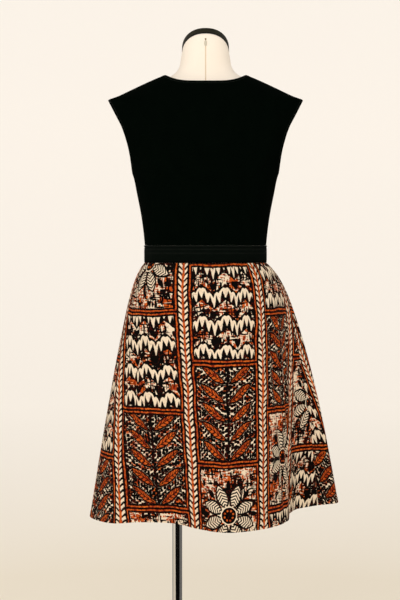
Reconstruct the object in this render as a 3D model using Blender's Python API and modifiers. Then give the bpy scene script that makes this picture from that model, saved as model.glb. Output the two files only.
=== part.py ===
"""A sleeveless dress with a knit bodice and a gathered A-line skirt, on a limbless dress form.

Metres, +Z up. The origin is the centre of the base's underside, on the floor. The form's back faces -Y
and its front +Y. Angles round the body run from the centre back (0) by +X (90) to the centre front (180).
"""

import math

import bmesh
import bpy
import numpy as np
from mathutils import Euler, Vector

# Cloth
BODICE_WALL = 0.0016
SKIRT_WALL = 0.0013
BAND_WALL = 0.0026
SEAM_GAP = 0.0004
NECK_CORNER_GAP = 0.0010
PIECE_GAP = 0.0003

# Waistband, a ring of wide elastic
BAND_BOTTOM = 1.002
BAND_TOP = 1.040
BAND_SIDES = 56
WAIST_POWER = 2.2

# Bodice heights and neckline
UNDERARM = 1.200
NECK_HALF_WIDTH = 0.090
NECK_POINT = 1.415
BACK_NECK_CENTRE = 1.3958
FRONT_NECK_CENTRE = 1.335
BACK_NECK_CURVE = 4.0
FRONT_NECK_CURVE = 2.6
BUST_HALF_SPAN = 0.078
BUST_HEIGHT = 1.215
BUST_RISE = 0.011
BUST_SPREAD = 0.045

# Skirt
SKIRT_TOP = 1.0017
HIP_EASE = 0.028
HIP_EASE_DRIFT = 0.006
HIP_EASE_DEPTH = 0.040
FULLNESS = 0.003
FLUTE_FULLNESS = 0.009
FLUTE_AT = 97
FLUTE_SPREAD = 24
GATHER_HEIGHT = 0.0018
GATHER_FADE = 0.100
GATHER_START = 0.006
GATHER_AT_BAND = 0.5
GATHERS_A_PANEL = 16
GATHER_UNEVENNESS = 0.25
GATHER_DRIFT = 17.0
GATHER_DROP = 0.120

# Stand
POLE_X = -0.063
POLE_RADIUS = 0.011
POLE_CLEARANCE = 0.0003
TORSO_BOTTOM = 0.800
PLATE_THICKNESS = 0.010
COLLAR_LENGTH = 0.045
COLLAR_RADIUS = 0.020
BASE_RADIUS = 0.180
BASE_THICKNESS = 0.006
SOCKET_HEIGHT = 0.060
SOCKET_FOOT_RADIUS = 0.034
SOCKET_TOP_RADIUS = 0.018
SOCKET_FOOT_HEIGHT = 0.009
SOCKET_NECK_HEIGHT = 0.0144
EDGE_CHAMFER = 0.002
TURN_STEPS = 24
ROUND_SIDES = 48
POLE_SIDES = 24
SMOOTH_ANGLE = 40

# Neck cap, a disc on the sloping top of the neck
CAP_THICKNESS = 0.018
CAP_OVERHANG = 0.0006
CAP_EDGE_ROUND = 0.004

# The bodice's outer surface: a row for each height
BODICE_SECTIONS = [
    {"height": 1.040, "half_width": 0.1347, "back": 0.0985, "front": 0.1070},
    {"height": 1.060, "half_width": 0.1365, "back": 0.0985, "front": 0.1085},
    {"height": 1.100, "half_width": 0.1416, "back": 0.1000, "front": 0.1130},
    {"height": 1.150, "half_width": 0.1510, "back": 0.1045, "front": 0.1210},
    {"height": 1.200, "half_width": 0.1620, "back": 0.1085, "front": 0.1265},
    {"height": 1.250, "half_width": 0.1930, "back": 0.1090, "front": 0.1245},
    {"height": 1.300, "half_width": 0.2120, "back": 0.1060, "front": 0.1160},
    {"height": 1.335, "half_width": 0.2185, "back": 0.1000, "front": 0.1040},
    {"height": 1.3595, "half_width": 0.2150, "back": 0.0920, "front": 0.0900},
    {"height": 1.3685, "half_width": 0.1940, "back": 0.0885, "front": 0.0835},
    {"height": 1.3819, "half_width": 0.1655, "back": 0.0825, "front": 0.0740},
    {"height": 1.3955, "half_width": 0.1367, "back": 0.0755, "front": 0.0640},
    {"height": 1.4110, "half_width": 0.1010, "back": 0.0665, "front": 0.0520},
    {"height": 1.4150, "half_width": 0.0900, "back": 0.0640, "front": 0.0490},
]

# How far out the sleeve's edge lies at each height, seen from the back
SLEEVE_EDGE = [
    {"height": 1.200, "half_width": 0.1620},
    {"height": 1.225, "half_width": 0.1640},
    {"height": 1.250, "half_width": 0.1680},
    {"height": 1.296, "half_width": 0.1820},
    {"height": 1.333, "half_width": 0.2010},
    {"height": 1.3595, "half_width": 0.2150},
]

# The dress form: each ring's height on the axis, its depths from the axis, and the rise of its back per metre
FORM_SECTIONS = [
    {"height": 0.8000, "half_width": 0.1480, "back": 0.0950, "front": 0.0900, "slope": 0.0},
    {"height": 0.8080, "half_width": 0.1550, "back": 0.1010, "front": 0.0960, "slope": 0.0},
    {"height": 0.8600, "half_width": 0.1600, "back": 0.1060, "front": 0.1000, "slope": 0.0},
    {"height": 0.9200, "half_width": 0.1530, "back": 0.1030, "front": 0.0990, "slope": 0.0},
    {"height": 0.9700, "half_width": 0.1375, "back": 0.0965, "front": 0.0970, "slope": 0.0},
    {"height": 1.0000, "half_width": 0.1305, "back": 0.0930, "front": 0.0990, "slope": 0.0},
    {"height": 1.0210, "half_width": 0.1300, "back": 0.0935, "front": 0.1010, "slope": 0.0},
    {"height": 1.0600, "half_width": 0.1305, "back": 0.0940, "front": 0.1045, "slope": 0.0},
    {"height": 1.1000, "half_width": 0.1370, "back": 0.0965, "front": 0.1095, "slope": 0.0},
    {"height": 1.1500, "half_width": 0.1480, "back": 0.1015, "front": 0.1180, "slope": 0.0},
    {"height": 1.2000, "half_width": 0.1590, "back": 0.1055, "front": 0.1235, "slope": 0.0},
    {"height": 1.2400, "half_width": 0.1630, "back": 0.1060, "front": 0.1215, "slope": 0.0},
    {"height": 1.2900, "half_width": 0.1690, "back": 0.1030, "front": 0.1140, "slope": 0.0},
    {"height": 1.3300, "half_width": 0.1760, "back": 0.0970, "front": 0.1020, "slope": 0.0},
    {"height": 1.3500, "half_width": 0.1790, "back": 0.0910, "front": 0.0900, "slope": 0.0},
    {"height": 1.3635, "half_width": 0.1765, "back": 0.0860, "front": 0.0820, "slope": 0.0},
    {"height": 1.3740, "half_width": 0.1635, "back": 0.0790, "front": 0.0715, "slope": 0.0},
    {"height": 1.3875, "half_width": 0.1440, "back": 0.0710, "front": 0.0590, "slope": 0.0},
    {"height": 1.4005, "half_width": 0.1105, "back": 0.0635, "front": 0.0480, "slope": 0.0},
    {"height": 1.4125, "half_width": 0.0770, "back": 0.0560, "front": 0.0445, "slope": 0.04},
    {"height": 1.4222, "half_width": 0.0635, "back": 0.0550, "front": 0.0500, "slope": 0.16},
    {"height": 1.4338, "half_width": 0.0570, "back": 0.0550, "front": 0.0540, "slope": 0.36},
    {"height": 1.4470, "half_width": 0.0545, "back": 0.0545, "front": 0.0540, "slope": 0.56},
    {"height": 1.4625, "half_width": 0.0515, "back": 0.0535, "front": 0.0530, "slope": 0.70},
]
FORM_SIDES = 36

# The hem: a row for each fold's crest, flank or valley, with where its cloth leaves the waist
HEM_FOLDS = [
    {"at": 8, "x": 0.048, "y": -0.193, "height": 0.4358},
    {"at": 30, "x": 0.128, "y": -0.144, "height": 0.4350},
    {"at": 52, "x": 0.178, "y": -0.058, "height": 0.4338},
    {"at": 70, "x": 0.190, "y": 0.030, "height": 0.4345},
    {"at": 81, "x": 0.211, "y": 0.098, "height": 0.4335},
    {"at": 90, "x": 0.262, "y": 0.122, "height": 0.4382},
    {"at": 97, "x": 0.306, "y": 0.130, "height": 0.4420},
    {"at": 106, "x": 0.300, "y": 0.176, "height": 0.4415},
    {"at": 122, "x": 0.226, "y": 0.190, "height": 0.4355},
    {"at": 142, "x": 0.162, "y": 0.234, "height": 0.4360},
    {"at": 163, "x": 0.090, "y": 0.192, "height": 0.4340},
    {"at": 184, "x": 0.018, "y": 0.229, "height": 0.4360},
    {"at": 204, "x": -0.056, "y": 0.180, "height": 0.4340},
    {"at": 224, "x": -0.128, "y": 0.204, "height": 0.4360},
    {"at": 243, "x": -0.184, "y": 0.138, "height": 0.4335},
    {"at": 258, "x": -0.243, "y": 0.090, "height": 0.4345},
    {"at": 270, "x": -0.258, "y": 0.010, "height": 0.4318},
    {"at": 290, "x": -0.206, "y": -0.078, "height": 0.4342},
    {"at": 311, "x": -0.140, "y": -0.103, "height": 0.4412},
    {"at": 334, "x": -0.068, "y": -0.112, "height": 0.4402},
    {"at": 351, "x": -0.014, "y": -0.153, "height": 0.4358},
]
HEM_SAMPLES = 40

# Mesh rows and columns
BODY_COLUMNS = [0.07 * i for i in range(13)] + [0.90, 0.95, 0.985, 1.0]
NECK_COLUMN = 7
LOWER_ROWS = 7
UPPER_ROWS = [0.08, 0.16, 0.25, 0.34, 0.44, 0.54, 0.64, 0.74, 0.83, 0.91, 0.97, 1.0]
SKIRT_COLUMNS = 32
SKIRT_EDGE_STRIP = 0.12
GATHER_ROWS = [0.0, 0.004, 0.012, 0.025, 0.045, 0.075]
FALL_ROWS = 10

COLOURS = {
    "knit": (0.004, 0.006, 0.005),
    "elastic": (0.010, 0.011, 0.010),
    "print": (0.300, 0.060, 0.020),
    "canvas": (0.880, 0.810, 0.690),
    "cap": (0.020, 0.020, 0.014),
    "board": (0.030, 0.026, 0.022),
    "chrome": (0.620, 0.610, 0.590),
    "steel": (0.350, 0.345, 0.335),
}
FINISHES = {
    "knit": (0.90, 0.0),
    "elastic": (0.75, 0.0),
    "print": (0.85, 0.0),
    "canvas": (0.90, 0.0),
    "cap": (0.45, 0.0),
    "board": (0.60, 0.0),
    "chrome": (0.12, 1.0),
    "steel": (0.30, 1.0),
}


def clear_scene():
    for thing in list(bpy.data.objects):
        bpy.data.objects.remove(thing, do_unlink=True)


def make_material(name):
    roughness, metallic = FINISHES[name]
    material = bpy.data.materials.new(name)
    material.use_nodes = True
    shader = material.node_tree.nodes["Principled BSDF"]
    shader.inputs["Base Color"].default_value = (*COLOURS[name], 1.0)
    shader.inputs["Roughness"].default_value = roughness
    shader.inputs["Metallic"].default_value = metallic
    return material


def column(table, name):
    return np.array([row[name] for row in table])


def end_slopes(steps, rises):
    """Slopes of a curve that passes through its points with no overshoot."""
    slopes = np.zeros(len(rises) + 1)
    for i in range(1, len(rises)):
        if rises[i - 1] * rises[i] > 0:
            before = 2 * steps[i] + steps[i - 1]
            after = steps[i] + 2 * steps[i - 1]
            slopes[i] = (before + after) / (before / rises[i - 1] + after / rises[i])
    slopes[0] = rises[0]
    slopes[-1] = rises[-1]
    return slopes


def read_curve(xs, ys, x):
    """The height at x of the smooth curve through the points."""
    steps = np.diff(xs)
    rises = np.diff(ys) / steps
    slopes = end_slopes(steps, rises)
    x = min(max(x, xs[0]), xs[-1])
    i = min(int(np.searchsorted(xs, x, side="right")) - 1, len(steps) - 1)
    t = (x - xs[i]) / steps[i]
    start = (1 + 2 * t) * (1 - t) ** 2 * ys[i] + t * (1 - t) ** 2 * steps[i] * slopes[i]
    end = t * t * (3 - 2 * t) * ys[i + 1] + t * t * (t - 1) * steps[i] * slopes[i + 1]
    return float(start + end)


def read_table(table, name, height):
    return read_curve(column(table, "height"), column(table, name), height)


def signed_power(value, power):
    return math.copysign(abs(value) ** power, value)


def ring_point(angle, half_width, back, front, power):
    """A point on a rounded oval: angle 0 is the centre back, 90 degrees is +X."""
    depth = back if math.cos(angle) >= 0 else front
    x = half_width * signed_power(math.sin(angle), 2 / power)
    y = -depth * signed_power(math.cos(angle), 2 / power)
    return x, y


def bust(x, height):
    """How far a front stands out over the bust, which is one soft form to each side."""
    away = (abs(x) - BUST_HALF_SPAN) ** 2 + (height - BUST_HEIGHT) ** 2
    return BUST_RISE * math.exp(-away / (2 * BUST_SPREAD ** 2))


def bodice_point(angle, height):
    half_width = read_table(BODICE_SECTIONS, "half_width", height)
    back = read_table(BODICE_SECTIONS, "back", height)
    front = read_table(BODICE_SECTIONS, "front", height)
    x, y = ring_point(angle, half_width, back, front, WAIST_POWER)
    if y > 0:
        y += bust(x, height) * (y / front)
    return Vector((x, y, height))


def angle_across(x, height):
    """The angle from the centre at which the bodice's ring lies this far out."""
    half_width = read_table(BODICE_SECTIONS, "half_width", height)
    return math.asin(min(1.0, x / half_width) ** (WAIST_POWER / 2))


def on_side(angle, side):
    """An angle measured from the centre of the back (side -1) or of the front (side 1)."""
    return angle if side < 0 else math.pi - angle


def neckline_point(share, side):
    centre = BACK_NECK_CENTRE if side < 0 else FRONT_NECK_CENTRE
    curve = BACK_NECK_CURVE if side < 0 else FRONT_NECK_CURVE
    across = math.sin(share * math.pi / 2)
    x = NECK_HALF_WIDTH * across
    height = centre + (NECK_POINT - centre) * across ** curve
    return bodice_point(on_side(angle_across(x, height), side), height)


def shoulder_point(share, side):
    tip = SLEEVE_EDGE[-1]["height"]
    height = NECK_POINT + (tip - NECK_POINT) * share
    return bodice_point(on_side(math.pi / 2, side), height)


def sleeve_edge_point(share, side):
    """A point of the sleeve's edge, from the underarm (0) up to the shoulder tip (1)."""
    tip = SLEEVE_EDGE[-1]["height"]
    height = UNDERARM + (tip - UNDERARM) * (1 - math.cos(math.pi * share)) / 2
    x = read_table(SLEEVE_EDGE, "half_width", height)
    return bodice_point(on_side(angle_across(x, height), side), height)


def top_edge_point(share, side):
    neck_share = BODY_COLUMNS[NECK_COLUMN]
    if share <= neck_share:
        return neckline_point(share / neck_share, side)
    return shoulder_point((share - neck_share) / (1 - neck_share), side)


def centre_point(share, side):
    centre = BACK_NECK_CENTRE if side < 0 else FRONT_NECK_CENTRE
    return bodice_point(on_side(0.0, side), UNDERARM + (centre - UNDERARM) * share)


def press_on_body(point, side):
    """Moves a point level with itself on to the bodice's surface."""
    half_width = read_table(BODICE_SECTIONS, "half_width", point.z)
    depth = read_table(BODICE_SECTIONS, "back" if side < 0 else "front", point.z)
    across = (abs(point.x) / half_width) ** (WAIST_POWER / 2)
    along = (abs(point.y) / depth) ** (WAIST_POWER / 2)
    return bodice_point(on_side(math.atan2(across, along), side), point.z)


def upper_point(u, v, side):
    """A point between the underarm level, the centre, the sleeve's edge and the top edge."""
    low = bodice_point(on_side(u * math.pi / 2, side), UNDERARM)
    high = top_edge_point(u, side)
    inner = centre_point(v, side)
    outer = sleeve_edge_point(v, side)
    rows = low.lerp(high, v)
    columns = inner.lerp(outer, u)
    corners_low = centre_point(0, side).lerp(sleeve_edge_point(0, side), u)
    corners_high = centre_point(1, side).lerp(sleeve_edge_point(1, side), u)
    mixed = rows + columns - corners_low.lerp(corners_high, v)
    if u in (0.0, 1.0) or v == 1.0:
        return mixed
    return press_on_body(mixed, side)


def bodice_row(make_point, side):
    """One row of points from -X to +X, kept clear of the other panel at the seam."""
    half = [make_point(u) for u in BODY_COLUMNS]
    for i, point in enumerate(half):
        clear = (NECK_CORNER_GAP if i == NECK_COLUMN else SEAM_GAP) / 2
        if abs(point.y) < clear:
            point.y = side * clear
    mirrored = [Vector((-point.x, point.y, point.z)) for point in half[:0:-1]]
    return mirrored + half


def bodice_grid(side):
    rows = []
    start = BAND_TOP + PIECE_GAP
    for i in range(LOWER_ROWS):
        height = start + (UNDERARM - start) * i / LOWER_ROWS
        rows.append(bodice_row(lambda u: bodice_point(on_side(u * math.pi / 2, side), height), side))
    for v in [0.0] + UPPER_ROWS:
        rows.append(bodice_row(lambda u: upper_point(u, v, side), side))
    return rows


def closed_curve(points, place):
    """A point of the smooth closed curve through the points; place counts them."""
    count = len(points)
    i = int(math.floor(place))
    t = place - i
    before, start, end, after = (points[(i + k) % count] for k in (-1, 0, 1, 2))
    return 0.5 * (
        2 * start
        + (end - before) * t
        + (2 * before - 5 * start + 4 * end - after) * t ** 2
        + (3 * start - before - 3 * end + after) * t ** 3
    )


def hem_curve():
    """Points close together along the whole hem, each with its waist angle and its length along the hem."""
    folds = np.column_stack([column(HEM_FOLDS, name) for name in ("x", "y", "height")])
    angles = column(HEM_FOLDS, "at").astype(float)
    angles = np.append(angles, angles[0] + 360)
    places = np.arange(len(HEM_FOLDS) * HEM_SAMPLES + 1) / HEM_SAMPLES
    points = np.array([closed_curve(folds, place) for place in places])
    turned = np.array([read_curve(np.arange(len(angles)), angles, place) for place in places])
    steps = np.linalg.norm(np.diff(points, axis=0), axis=1)
    lengths = np.concatenate([[0.0], np.cumsum(steps)])
    return points, turned, lengths


def hem_columns(first_angle, last_angle, shares):
    """The hem points and waist angles of columns that share a panel's hem evenly."""
    points, turned, lengths = hem_curve()
    total = lengths[-1]
    points = np.concatenate([points, points[1:]])
    turned = np.concatenate([turned, turned[1:] + 360])
    lengths = np.concatenate([lengths, lengths[1:] + total])
    first = np.interp(first_angle, turned, lengths) + SEAM_GAP
    last = np.interp(last_angle, turned, lengths) - SEAM_GAP
    for share in shares:
        length = first + (last - first) * share
        hem = Vector([np.interp(length, lengths, points[:, k]) for k in range(3)])
        yield hem, math.radians(np.interp(length, lengths, turned))


def fullness(angle):
    """How far the skirt's flare stands out halfway down, most of all at the large flute."""
    away = (math.degrees(angle) - FLUTE_AT + 180) % 360 - 180
    return FULLNESS + FLUTE_FULLNESS * math.exp(-(away / FLUTE_SPREAD) ** 2)


def skirt_point(hem, angle, gather, drop, from_share=True):
    """A point of the skirt: drop is a share of the column's fall, or a depth in metres below the band."""
    waist_ring = BODICE_SECTIONS[0]
    x, y = ring_point(angle, waist_ring["half_width"], waist_ring["back"], waist_ring["front"], WAIST_POWER)
    fall = SKIRT_TOP - hem.z
    depth = drop * fall if from_share else drop
    share = depth / fall
    outward = Vector((math.sin(angle), -math.cos(angle), 0.0))
    ease = HIP_EASE + HIP_EASE_DRIFT * math.sin(angle)
    waist = Vector((x, y, SKIRT_TOP))
    target = hem - outward * ease
    point = waist.lerp(target, share)
    point += outward * ease * (1 - math.exp(-depth / HIP_EASE_DEPTH))
    point += outward * fullness(angle) * math.sin(math.pi * share)
    opening = 1 - (1 - GATHER_AT_BAND) * math.exp(-depth / GATHER_START)
    bulge = GATHER_HEIGHT * math.exp(-depth / GATHER_FADE) * opening
    return point + outward * bulge * gather


def column_shares(columns):
    """Even shares across a panel, with a narrow strip beside each side seam."""
    strip = SKIRT_EDGE_STRIP / columns
    inner = [i / columns for i in range(1, columns)]
    return [0.0, strip] + inner + [1.0 - strip, 1.0]


def skirt_panel(name, first_angle, last_angle, material):
    """A skirt panel: close columns through the gathers, then every other one down to the hem."""
    fine = column_shares(SKIRT_COLUMNS * 2)
    coarse = column_shares(SKIRT_COLUMNS)
    shell = bmesh.new()
    rows = []
    for drop in GATHER_ROWS:
        row = []
        for share, (hem, angle) in zip(fine, hem_columns(first_angle, last_angle, fine)):
            wave = math.sin(share * GATHERS_A_PANEL * 2 * math.pi)
            wave *= 1 - GATHER_UNEVENNESS + GATHER_UNEVENNESS * math.sin(share * GATHER_DRIFT)
            row.append(shell.verts.new(skirt_point(hem, angle, wave, drop, from_share=False)))
        rows.append(row)
    for low, high in zip(rows[1:], rows):
        for i in range(len(low) - 1):
            shell.faces.new((low[i], low[i + 1], high[i + 1], high[i]))
    falls = []
    for k in range(FALL_ROWS + 1):
        row = []
        for hem, angle in hem_columns(first_angle, last_angle, coarse):
            start = GATHER_DROP / (SKIRT_TOP - hem.z)
            row.append(shell.verts.new(skirt_point(hem, angle, 0.0, start + (1 - start) * k / FALL_ROWS)))
        falls.append(row)
    for low, high in zip(falls[1:], falls):
        for i in range(len(low) - 1):
            shell.faces.new((low[i], low[i + 1], high[i + 1], high[i]))
    join_rows(shell, rows[-1], falls[0])
    return shell_object(name, shell, SKIRT_WALL, material)


def join_rows(shell, fine, coarse):
    """Faces between a row with twice the columns and the coarser row below it."""
    last = len(coarse) - 1
    fine_last = len(fine) - 1
    shell.faces.new((coarse[0], coarse[1], fine[1], fine[0]))
    shell.faces.new((coarse[last - 1], coarse[last], fine[fine_last], fine[fine_last - 1]))
    for i in range(1, last - 1):
        start = 2 * i - 1
        end = 2 * i + 1
        above = [fine[k] for k in range(end, start - 1, -1)]
        shell.faces.new([coarse[i], coarse[i + 1]] + above)


def shell_object(name, shell, thickness, material):
    """An open surface that faces out, given its wall inwards."""
    mesh = bpy.data.meshes.new(name)
    shell.to_mesh(mesh)
    shell.free()
    mesh.shade_smooth()
    thing = bpy.data.objects.new(name, mesh)
    wall = thing.modifiers.new("wall", "SOLIDIFY")
    wall.thickness = thickness
    wall.offset = -1.0
    wall.use_even_offset = True
    wall.use_rim = True
    return finish(thing, material)


def grid_shell(rows, closed, reverse):
    """A surface over rows of points, lowest row first, each row from -X to +X or once round."""
    shell = bmesh.new()
    verts = [[shell.verts.new(point) for point in row] for row in rows]
    for low, high in zip(verts, verts[1:]):
        ends = range(len(low)) if closed else range(len(low) - 1)
        for i in ends:
            k = (i + 1) % len(low)
            corners = (low[i], low[k], high[k], high[i])
            shell.faces.new(corners[::-1] if reverse else corners)
    return shell


def finish(thing, material, smooth_angle=None):
    thing.data.materials.append(material)
    if smooth_angle is not None:
        thing.data.set_sharp_from_angle(angle=math.radians(smooth_angle))
    parts.objects.link(thing)
    return thing


def make_bodice(materials):
    shell_object("bodice_back", grid_shell(bodice_grid(-1), False, False), BODICE_WALL, materials["knit"])
    shell_object("bodice_front", grid_shell(bodice_grid(1), False, True), BODICE_WALL, materials["knit"])


def make_waistband(materials):
    """The elastic's outer face: a raised top edge over a groove, and faint ribs below."""
    profile = [
        {"share": 0.000, "out": 0.0004},
        {"share": 0.060, "out": 0.0010},
        {"share": 0.360, "out": 0.0014},
        {"share": 0.600, "out": 0.0014},
        {"share": 0.860, "out": 0.0010},
        {"share": 0.900, "out": 0.0004},
        {"share": 0.950, "out": 0.0020},
        {"share": 1.000, "out": 0.0014},
    ]
    section = BODICE_SECTIONS[0]
    rows = []
    for step in profile:
        height = BAND_BOTTOM + (BAND_TOP - BAND_BOTTOM) * step["share"]
        row = []
        for i in range(BAND_SIDES):
            angle = 2 * math.pi * i / BAND_SIDES
            sizes = [section[name] + step["out"] for name in ("half_width", "back", "front")]
            x, y = ring_point(angle, *sizes, WAIST_POWER)
            row.append(Vector((x, y, height)))
        rows.append(row)
    shell_object("waistband", grid_shell(rows, True, False), BAND_WALL, materials["elastic"])


def make_torso(materials):
    """The form's canvas torso, lofted from ring to ring, with a flat underside and a sloping neck top."""
    rows = []
    for section in FORM_SECTIONS:
        row = []
        for i in range(FORM_SIDES):
            angle = 2 * math.pi * i / FORM_SIDES
            x, y = ring_point(angle, section["half_width"], section["back"], section["front"], WAIST_POWER)
            if y > 0:
                y += bust(x, section["height"]) * (y / section["front"])
            row.append(Vector((x, y, section["height"] - section["slope"] * y)))
        rows.append(row)
    body = grid_shell(rows, True, False)
    body.verts.ensure_lookup_table()
    bottom = [body.verts[i] for i in range(FORM_SIDES)]
    top = [body.verts[len(body.verts) - FORM_SIDES + i] for i in range(FORM_SIDES)]
    body.faces.new(bottom[::-1])
    body.faces.new(top)
    mesh = bpy.data.meshes.new("form_torso")
    body.to_mesh(mesh)
    body.free()
    mesh.shade_smooth()
    finish(bpy.data.objects.new("form_torso", mesh), materials["canvas"], SMOOTH_ANGLE)


def take_active(name, material):
    """Names the primitive just added and moves it to the parts' collection."""
    thing = bpy.context.object
    thing.name = name
    thing.data.name = name
    for home in list(thing.users_collection):
        home.objects.unlink(thing)
    thing.data.shade_smooth()
    return finish(thing, material, SMOOTH_ANGLE)


def add_disc(name, radius, depth, centre, material, sides):
    bpy.ops.mesh.primitive_cylinder_add(vertices=sides, radius=radius, depth=depth, location=centre)
    return take_active(name, material)


def round_edges(thing, width, segments):
    edge = thing.modifiers.new("edge", "BEVEL")
    edge.width = width
    edge.segments = segments
    edge.limit_method = "ANGLE"
    edge.angle_limit = math.radians(SMOOTH_ANGLE)


def make_cap(materials):
    top = FORM_SECTIONS[-1]
    tilt = math.atan(top["slope"])
    depth = (top["back"] + top["front"]) / 2
    middle_y = (top["front"] - top["back"]) / 2
    lift = CAP_THICKNESS / 2 + PIECE_GAP
    centre = Vector((0.0, middle_y, top["height"] - top["slope"] * middle_y))
    centre += Vector((0.0, math.sin(tilt), math.cos(tilt))) * lift
    cap = add_disc("neck_cap", 1.0, CAP_THICKNESS, (0, 0, 0), materials["cap"], FORM_SIDES)
    wide = top["half_width"] + CAP_OVERHANG
    deep = depth / math.cos(tilt) + CAP_OVERHANG
    for vert in cap.data.vertices:
        vert.co.x *= wide
        vert.co.y *= deep
    cap.location = centre
    cap.rotation_euler = Euler((-tilt, 0.0, 0.0))
    round_edges(cap, CAP_EDGE_ROUND, 2)


def make_turned(name, profile, centre, material):
    """A ring turned from a closed profile of (radius, height) points, down its outer side first."""
    mesh = bpy.data.meshes.new(name)
    points = [(radius, 0.0, height) for radius, height in profile]
    edges = [(i, (i + 1) % len(points)) for i in range(len(points))]
    mesh.from_pydata(points, edges, [])
    thing = bpy.data.objects.new(name, mesh)
    thing.location = centre
    turn = thing.modifiers.new("turn", "SCREW")
    turn.steps = TURN_STEPS
    turn.render_steps = TURN_STEPS
    turn.merge_threshold = 0.0001
    turn.use_merge_vertices = True
    turn.use_smooth_shade = False
    return finish(thing, material)


def make_stand(materials):
    plate_top = TORSO_BOTTOM - PIECE_GAP
    plate_bottom = plate_top - PLATE_THICKNESS
    bottom = FORM_SECTIONS[0]
    middle_y = (bottom["front"] - bottom["back"]) / 2
    depth = (bottom["front"] + bottom["back"]) / 2
    centre = (0.0, middle_y, plate_top - PLATE_THICKNESS / 2)
    plate = add_disc("torso_plate", 1.0, PLATE_THICKNESS, centre, materials["board"], FORM_SIDES)
    for vert in plate.data.vertices:
        vert.co.x *= bottom["half_width"] - CAP_EDGE_ROUND
        vert.co.y *= depth - CAP_EDGE_ROUND
    bore = POLE_RADIUS + POLE_CLEARANCE
    collar = [(COLLAR_RADIUS, COLLAR_LENGTH), (COLLAR_RADIUS, EDGE_CHAMFER)]
    collar += [(COLLAR_RADIUS - EDGE_CHAMFER, 0.0), (bore, 0.0), (bore, COLLAR_LENGTH)]
    collar_bottom = plate_bottom - PIECE_GAP - COLLAR_LENGTH
    make_turned("pole_collar", collar, (POLE_X, 0.0, collar_bottom), materials["steel"])
    pole_top = plate_bottom - PIECE_GAP
    pole_bottom = BASE_THICKNESS + PIECE_GAP
    pole_centre = (POLE_X, 0.0, (pole_top + pole_bottom) / 2)
    add_disc("pole", POLE_RADIUS, pole_top - pole_bottom, pole_centre, materials["chrome"], POLE_SIDES)
    socket = [(SOCKET_TOP_RADIUS, SOCKET_HEIGHT), (SOCKET_TOP_RADIUS, SOCKET_NECK_HEIGHT)]
    socket += [(SOCKET_FOOT_RADIUS, SOCKET_FOOT_HEIGHT)]
    socket += [(SOCKET_FOOT_RADIUS, 0.0), (bore, 0.0), (bore, SOCKET_HEIGHT)]
    make_turned("base_socket", socket, (POLE_X, 0.0, pole_bottom), materials["steel"])
    base_centre = (0, 0, BASE_THICKNESS / 2)
    base = add_disc("base_plate", BASE_RADIUS, BASE_THICKNESS, base_centre, materials["steel"], ROUND_SIDES)
    round_edges(base, EDGE_CHAMFER, 1)


clear_scene()
parts = bpy.data.collections.new("dress_on_form")
bpy.context.scene.collection.children.link(parts)
finishes = {name: make_material(name) for name in COLOURS}
make_bodice(finishes)
make_waistband(finishes)
skirt_panel("skirt_back", 270, 450, finishes["print"])
skirt_panel("skirt_front", 450, 630, finishes["print"])
make_torso(finishes)
make_cap(finishes)
make_stand(finishes)
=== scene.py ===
import math
from functools import partialmethod

import bmesh
import bpy
import numpy as np
from mathutils import Euler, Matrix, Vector


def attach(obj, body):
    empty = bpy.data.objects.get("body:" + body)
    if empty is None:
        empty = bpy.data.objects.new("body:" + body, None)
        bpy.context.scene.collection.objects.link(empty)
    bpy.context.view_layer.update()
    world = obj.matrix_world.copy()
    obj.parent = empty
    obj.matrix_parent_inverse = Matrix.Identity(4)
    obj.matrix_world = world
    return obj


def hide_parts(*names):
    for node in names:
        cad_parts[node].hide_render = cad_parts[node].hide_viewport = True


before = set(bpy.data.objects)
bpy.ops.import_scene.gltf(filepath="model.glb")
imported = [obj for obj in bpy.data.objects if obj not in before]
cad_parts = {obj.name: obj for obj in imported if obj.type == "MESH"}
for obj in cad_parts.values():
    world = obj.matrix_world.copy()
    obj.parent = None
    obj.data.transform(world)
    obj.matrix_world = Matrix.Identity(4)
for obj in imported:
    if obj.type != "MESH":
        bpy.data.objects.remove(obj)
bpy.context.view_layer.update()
print("frame loaded:", len(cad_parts), "nodes")

# Metres, +Z up. The back of the form faces -Y. Angles run from the centre back (0) by +X to the centre front.
waistPower = 2.2
bodiceWall = 0.0016
skirtWall = 0.0013
bandBottom = 1.002
bandTop = 1.040
waistRadius = 0.12             # the band's mean radius
pieceGap = 0.0003
seamRoll = 0.0009              # how deep a panel's edge turns in at a seam
seamWidth = 0.0010

bodice = {
    "underarm": 1.200,
    "neckHalfWidth": 0.090,
    "neckPoint": 1.415,
    "neckCentre": {-1: 1.3958, 1: 1.335},   # back, front
    "neckCurve": {-1: 4.0, 1: 2.6},
    "bustHalfSpan": 0.078,
    "bustHeight": 1.215,
    "bustRise": 0.011,
    "bustSpread": 0.045,
    "neckShare": 0.49,         # where along a panel's top edge the neckline ends
    "columns": 90,             # from the centre out
    "rows": (70, 76),          # below and above the underarm
    "turning": 0.0075,         # width of the turned and stitched edges
    "turningRise": 0.00045,
    "seamGap": 0.0002,
}

# height, half width, depth of the back, depth of the front
bodiceSections = [
    (1.040, 0.1347, 0.0985, 0.1070),
    (1.060, 0.1365, 0.0985, 0.1085),
    (1.100, 0.1416, 0.1000, 0.1130),
    (1.150, 0.1510, 0.1045, 0.1210),
    (1.200, 0.1620, 0.1085, 0.1265),
    (1.250, 0.1930, 0.1090, 0.1245),
    (1.300, 0.2120, 0.1060, 0.1160),
    (1.335, 0.2185, 0.1000, 0.1040),
    (1.3595, 0.2150, 0.0920, 0.0900),
    (1.3685, 0.1940, 0.0885, 0.0835),
    (1.3819, 0.1655, 0.0825, 0.0740),
    (1.3955, 0.1367, 0.0755, 0.0640),
    (1.4110, 0.1010, 0.0665, 0.0520),
    (1.4150, 0.0900, 0.0640, 0.0490),
]

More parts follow.
